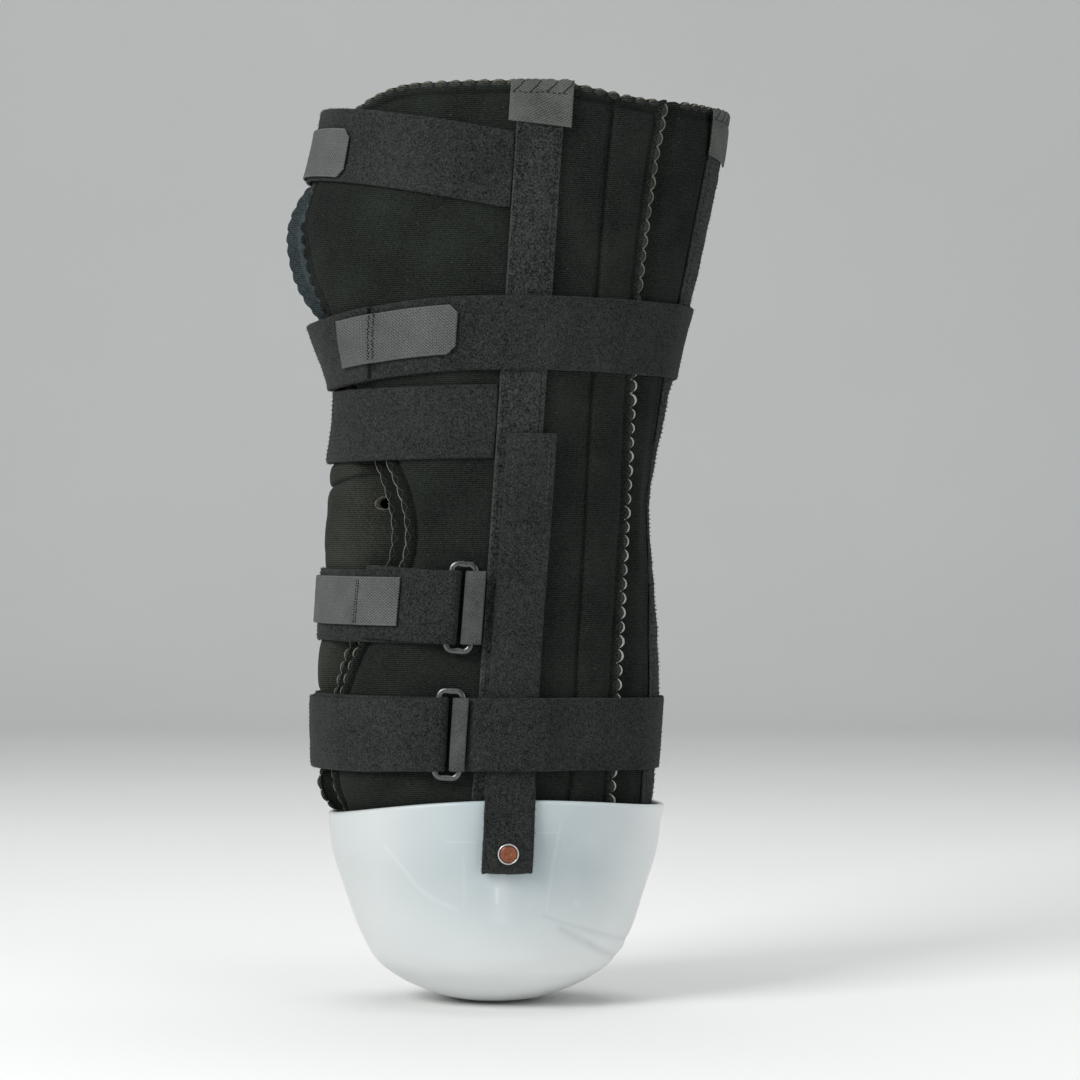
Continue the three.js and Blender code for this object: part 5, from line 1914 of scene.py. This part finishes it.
def rivet_seat(side):
    """Middle of the rivet on the strap's outside, and the way out of the strap there."""
    chart = tape_chart(lambda z: angle_at(z, RIVET_X), side)

    def on_strap(above, across):
        z = RIVET_HEIGHT + above
        return chart(z, suspension_lift(z) + STRAP / 2, across)

    up = on_strap(4, 0) - on_strap(-4, 0)
    along = on_strap(0, 3) - on_strap(0, -3)
    out = unit(np.cross(up, along))
    return on_strap(0, 0), out * np.sign(out[1] * side)


def turned(name, node, side, profile, dent, finish, slot):
    """A lathe-turned piece on the rivet's axis, from (radius, height) points, its top dented by dent."""
    spot, out = rivet_seat(side)
    across = unit(np.cross(out, (0, 0, 1)))
    up = np.cross(across, out)
    turn = np.linspace(0, 2 * np.pi, LATHE_SIDES, endpoint=False)
    radius, height = (np.array(profile)[:, i][:, None] for i in range(2))
    dents = np.sin(3 * turn + radius * 2.2) * bell(radius - DENT_RADIUS, 1) * (height > DENT_FOOT)
    height = height + dent * dents
    points = spot + (radius * np.cos(turn))[..., None] * across + (radius * np.sin(turn))[..., None] * up
    points = points + height[..., None] * out
    faces = grid_faces(len(profile), LATHE_SIDES, closed=True)
    piece = make_piece(name, points.reshape(-1, 3), faces, finish, slot)
    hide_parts(node)
    return piece


def rounded_profile(corners, step):
    """An outline of (radius, height) corners with points between them."""
    points = []
    for start, end in zip(corners[:-1], corners[1:]):
        count = max(2, int(math.dist(start, end) / step))
        points += [mix(np.array(start), np.array(end), i / count) for i in range(count)]
    return [*points, np.array(corners[-1])]


def rivet(name, side):
    shank = [(0.02, -10.2), (3.4, -10.2), (3.6, -10), (3.6, -9.5), (3.4, -9.4), (1.6, -9.4), (1.6, 1.1)]
    head = [(4.0, 1.1), (4.15, 1.25), (4.1, 1.5), (3.7, 1.8), (3.0, 1.95)]
    dimple = [(2.2, 1.75), (1.4, 1.5), (0.02, 1.35)]
    profile = rounded_profile(shank + head + dimple, 0.5)
    turned(f"{name}_copper_rivet", f"{name}_rivet", side, profile, RIVET_DENT, COPPER, "copper")


def rivet_washer(name, side):
    corners = [(2, 0.3), (5.0, 0.3), (5.25, 0.5), (5.25, 1.15), (5.05, 1.4), (4.75, 1.45), (4.5, 1.3)]
    corners += [(4.35, 0.85), (2, 0.8), (2, 0.3)]
    profile = rounded_profile(corners, 0.3)
    turned(f"{name}_bright_washer", f"{name}_rivet_washer", side, profile, 0, BRIGHT_METAL, "bright_metal")


for side_name, side in (("lateral", LATERAL), ("medial", MEDIAL)):
    side_panel(f"{side_name}_panel", side)
    facing(f"{side_name}_facing", side)
    stay_strip(f"{side_name}_stay_strip", stay_angle, side, STAY_TOP)
    pocket_tab(f"{side_name}_pocket_tab", stay_angle, side, WRAP_TOP - SIDE_TAB_DROP, SIDE_TAB_LENGTH)
    suspension_strap(f"{side_name}_suspension_strap", side)
    rivet(side_name, side)
    rivet_washer(side_name, side)
rear_panel("posterior_panel")
stay_strip("posterior_stay_strip", rear_angle, LATERAL, REAR_STAY_TOP)
rear_tab_top = WRAP_TOP - REAR_DROP - REAR_TAB_DROP
pocket_tab("posterior_pocket_tab", rear_angle, LATERAL, rear_tab_top, REAR_TAB_LENGTH)
tongue("knee_tongue")
end_cup()

girths = {name: Girth(heights[0]) for name, heights in HEIGHTS.items()}


def stay_front(girth):
    return girth.near(TAPES("stay", girth.z)) - TAPE_WIDTH / 2 - STAY_CLEAR


def far_stay_front(girth):
    return -girth.round / 2 - stay_front(girth)


# Reach of each chape from its ring, and how far a hook tab is sewn on before its strap's end
THIGH_CHAPE = 17
KNEE_CHAPE = 34
CALF_LOWER_CHAPE = 8.7
TAB_LAP = 16


def thigh_upper():
    girth = girths["thigh_upper"]
    ring = far_stay_front(girth) + THIGH_CHAPE
    end = girth.far_front(-74)
    shape = {"start": stay_front(girth), "ring": ring, "heading": -1, "end": end}
    tab = {"start": end - TAB_LAP, "end": girth.near(-73), "rise": -4}
    ringed("thigh_upper", shape, tab, THIGH_CHAPE)


def thigh_lower():
    girth = girths["thigh_lower"]
    ring = far_stay_front(girth) + 17.5
    end = girth.near(THIGH_LOWER_END)
    shape = {"start": ring + girth.round - 17.8, "ring": ring, "heading": -1, "end": end}
    shape["tapes"] = tapes_under(girth, False, 0)
    tab = {"start": girth.near(-74), "end": girth.near(-17.3), "rise": 2}
    ringed("thigh_lower", shape, tab, THIGH_CHAPE)


def knee():
    girth = girths["knee"]
    ring = far_stay_front(girth) + KNEE_CHAPE
    shape = {"start": stay_front(girth), "ring": ring, "heading": -1, "end": ring + 48}
    tab = {"start": ring + 34, "end": ring + 66, "rise": 0}
    ringed("knee", shape, tab, KNEE_CHAPE)


def calf_upper():
    girth = girths["calf_upper"]
    ring = girth.near(-15.2)
    shape = {"start": far_stay_front(girth), "ring": ring, "heading": 1, "end": girth.near(-62), "skew": 2.4}
    tab = {"start": girth.near(-44.5), "end": girth.far_front(-74), "rise": 2.5}
    ringed("calf_upper", shape, tab, stay_front(girth) - ring)


def calf_lower():
    girth = girths["calf_lower"]
    ring = girth.near(-21)
    end = girth.far_front(-52)
    shape = {"start": ring - girth.round + 9.2, "ring": ring, "heading": 1, "end": end, "skew": -1.8}
    shape["tapes"] = tapes_under(girth, True, -1)
    tab = {"start": end + TAB_LAP, "end": girth.far_front(-20), "rise": 0}
    ringed("calf_lower", shape, tab, CALF_LOWER_CHAPE)


thigh_upper()
thigh_lower()
knee()
calf_upper()
calf_lower()


# Studio
def backdrop():
    """A pale floor that curves up into a wall behind the object."""
    floor = cad_box[0][2]
    front, back, bend, high, wide = -6.0, 2.6, 1.2, 5.0, 7.0
    turn = np.linspace(0, np.pi / 2, 24)
    profile = [(front, floor)]
    profile += [(back + bend * math.sin(t), floor + bend * (1 - math.cos(t))) for t in turn]
    profile.append((back + bend, high))
    points = [(x, y, z) for y, z in profile for x in (-wide, wide)]
    mesh = bpy.data.meshes.new("studio_floor")
    mesh.from_pydata(points, [], [(2 * i, 2 * i + 1, 2 * i + 3, 2 * i + 2) for i in range(len(profile) - 1)])
    mesh.shade_smooth()
    finish = Finish("pale_floor", 0.9)
    point, _ = finish.place()
    colour = finish.blend((232, 232, 230), (238, 238, 236), finish.noise(point, 400))
    mesh.materials.append(finish.paint(colour))
    stage = bpy.data.objects.new("studio_floor", mesh)
    bpy.context.scene.collection.objects.link(stage)


def soft_light(name, place, target, size, power):
    lamp = bpy.data.lights.new(name, "AREA")
    lamp.energy = power
    lamp.size = size
    made = bpy.data.objects.new(name, lamp)
    made.location = place
    made.rotation_euler = (Vector(target) - Vector(place)).to_track_quat("-Z", "Y").to_euler()
    bpy.context.scene.collection.objects.link(made)


# Soft lights: place and size in metres, power in watts
LIGHTS = {
    "key_light": ((-1.7, -1.7, 1.5), 1.2, 58),
    "fill_light": ((1.9, -1.8, 0.8), 1.8, 17),
    "top_light": ((0.1, 0.3, 2.2), 1.6, 26),
}
LIGHT_TARGET = (0.01, 0, 0.23)
AIR_COLOUR = (0.9, 0.95, 1.0, 1)
AIR_STRENGTH = 0.3


def studio():
    for name, (place, size, power) in LIGHTS.items():
        soft_light(name, place, LIGHT_TARGET, size, power)
    world = bpy.data.worlds.new("studio_air")
    world.use_nodes = True
    air = world.node_tree.nodes["Background"]
    air.inputs["Color"].default_value = AIR_COLOUR
    air.inputs["Strength"].default_value = AIR_STRENGTH
    bpy.context.scene.world = world
    bpy.context.scene.view_settings.view_transform = "Standard"


def camera():
    """Level camera at the photograph's angle, 1.8 m off, framing 548.6 mm at the limb's axis."""
    distance, framed, sensor = 1.8, 0.5486, 36.0
    aim_x, aim_height = 0.0229, 0.2307
    lens = bpy.data.cameras.new("photo_camera")
    lens.sensor_width = sensor
    lens.lens = sensor * distance / framed
    made = bpy.data.objects.new("photo_camera", lens)
    made.location = (aim_x, -distance, aim_height)
    made.rotation_euler = (math.pi / 2, 0, 0)
    bpy.context.scene.collection.objects.link(made)
    bpy.context.scene.camera = made


backdrop()
studio()
camera()
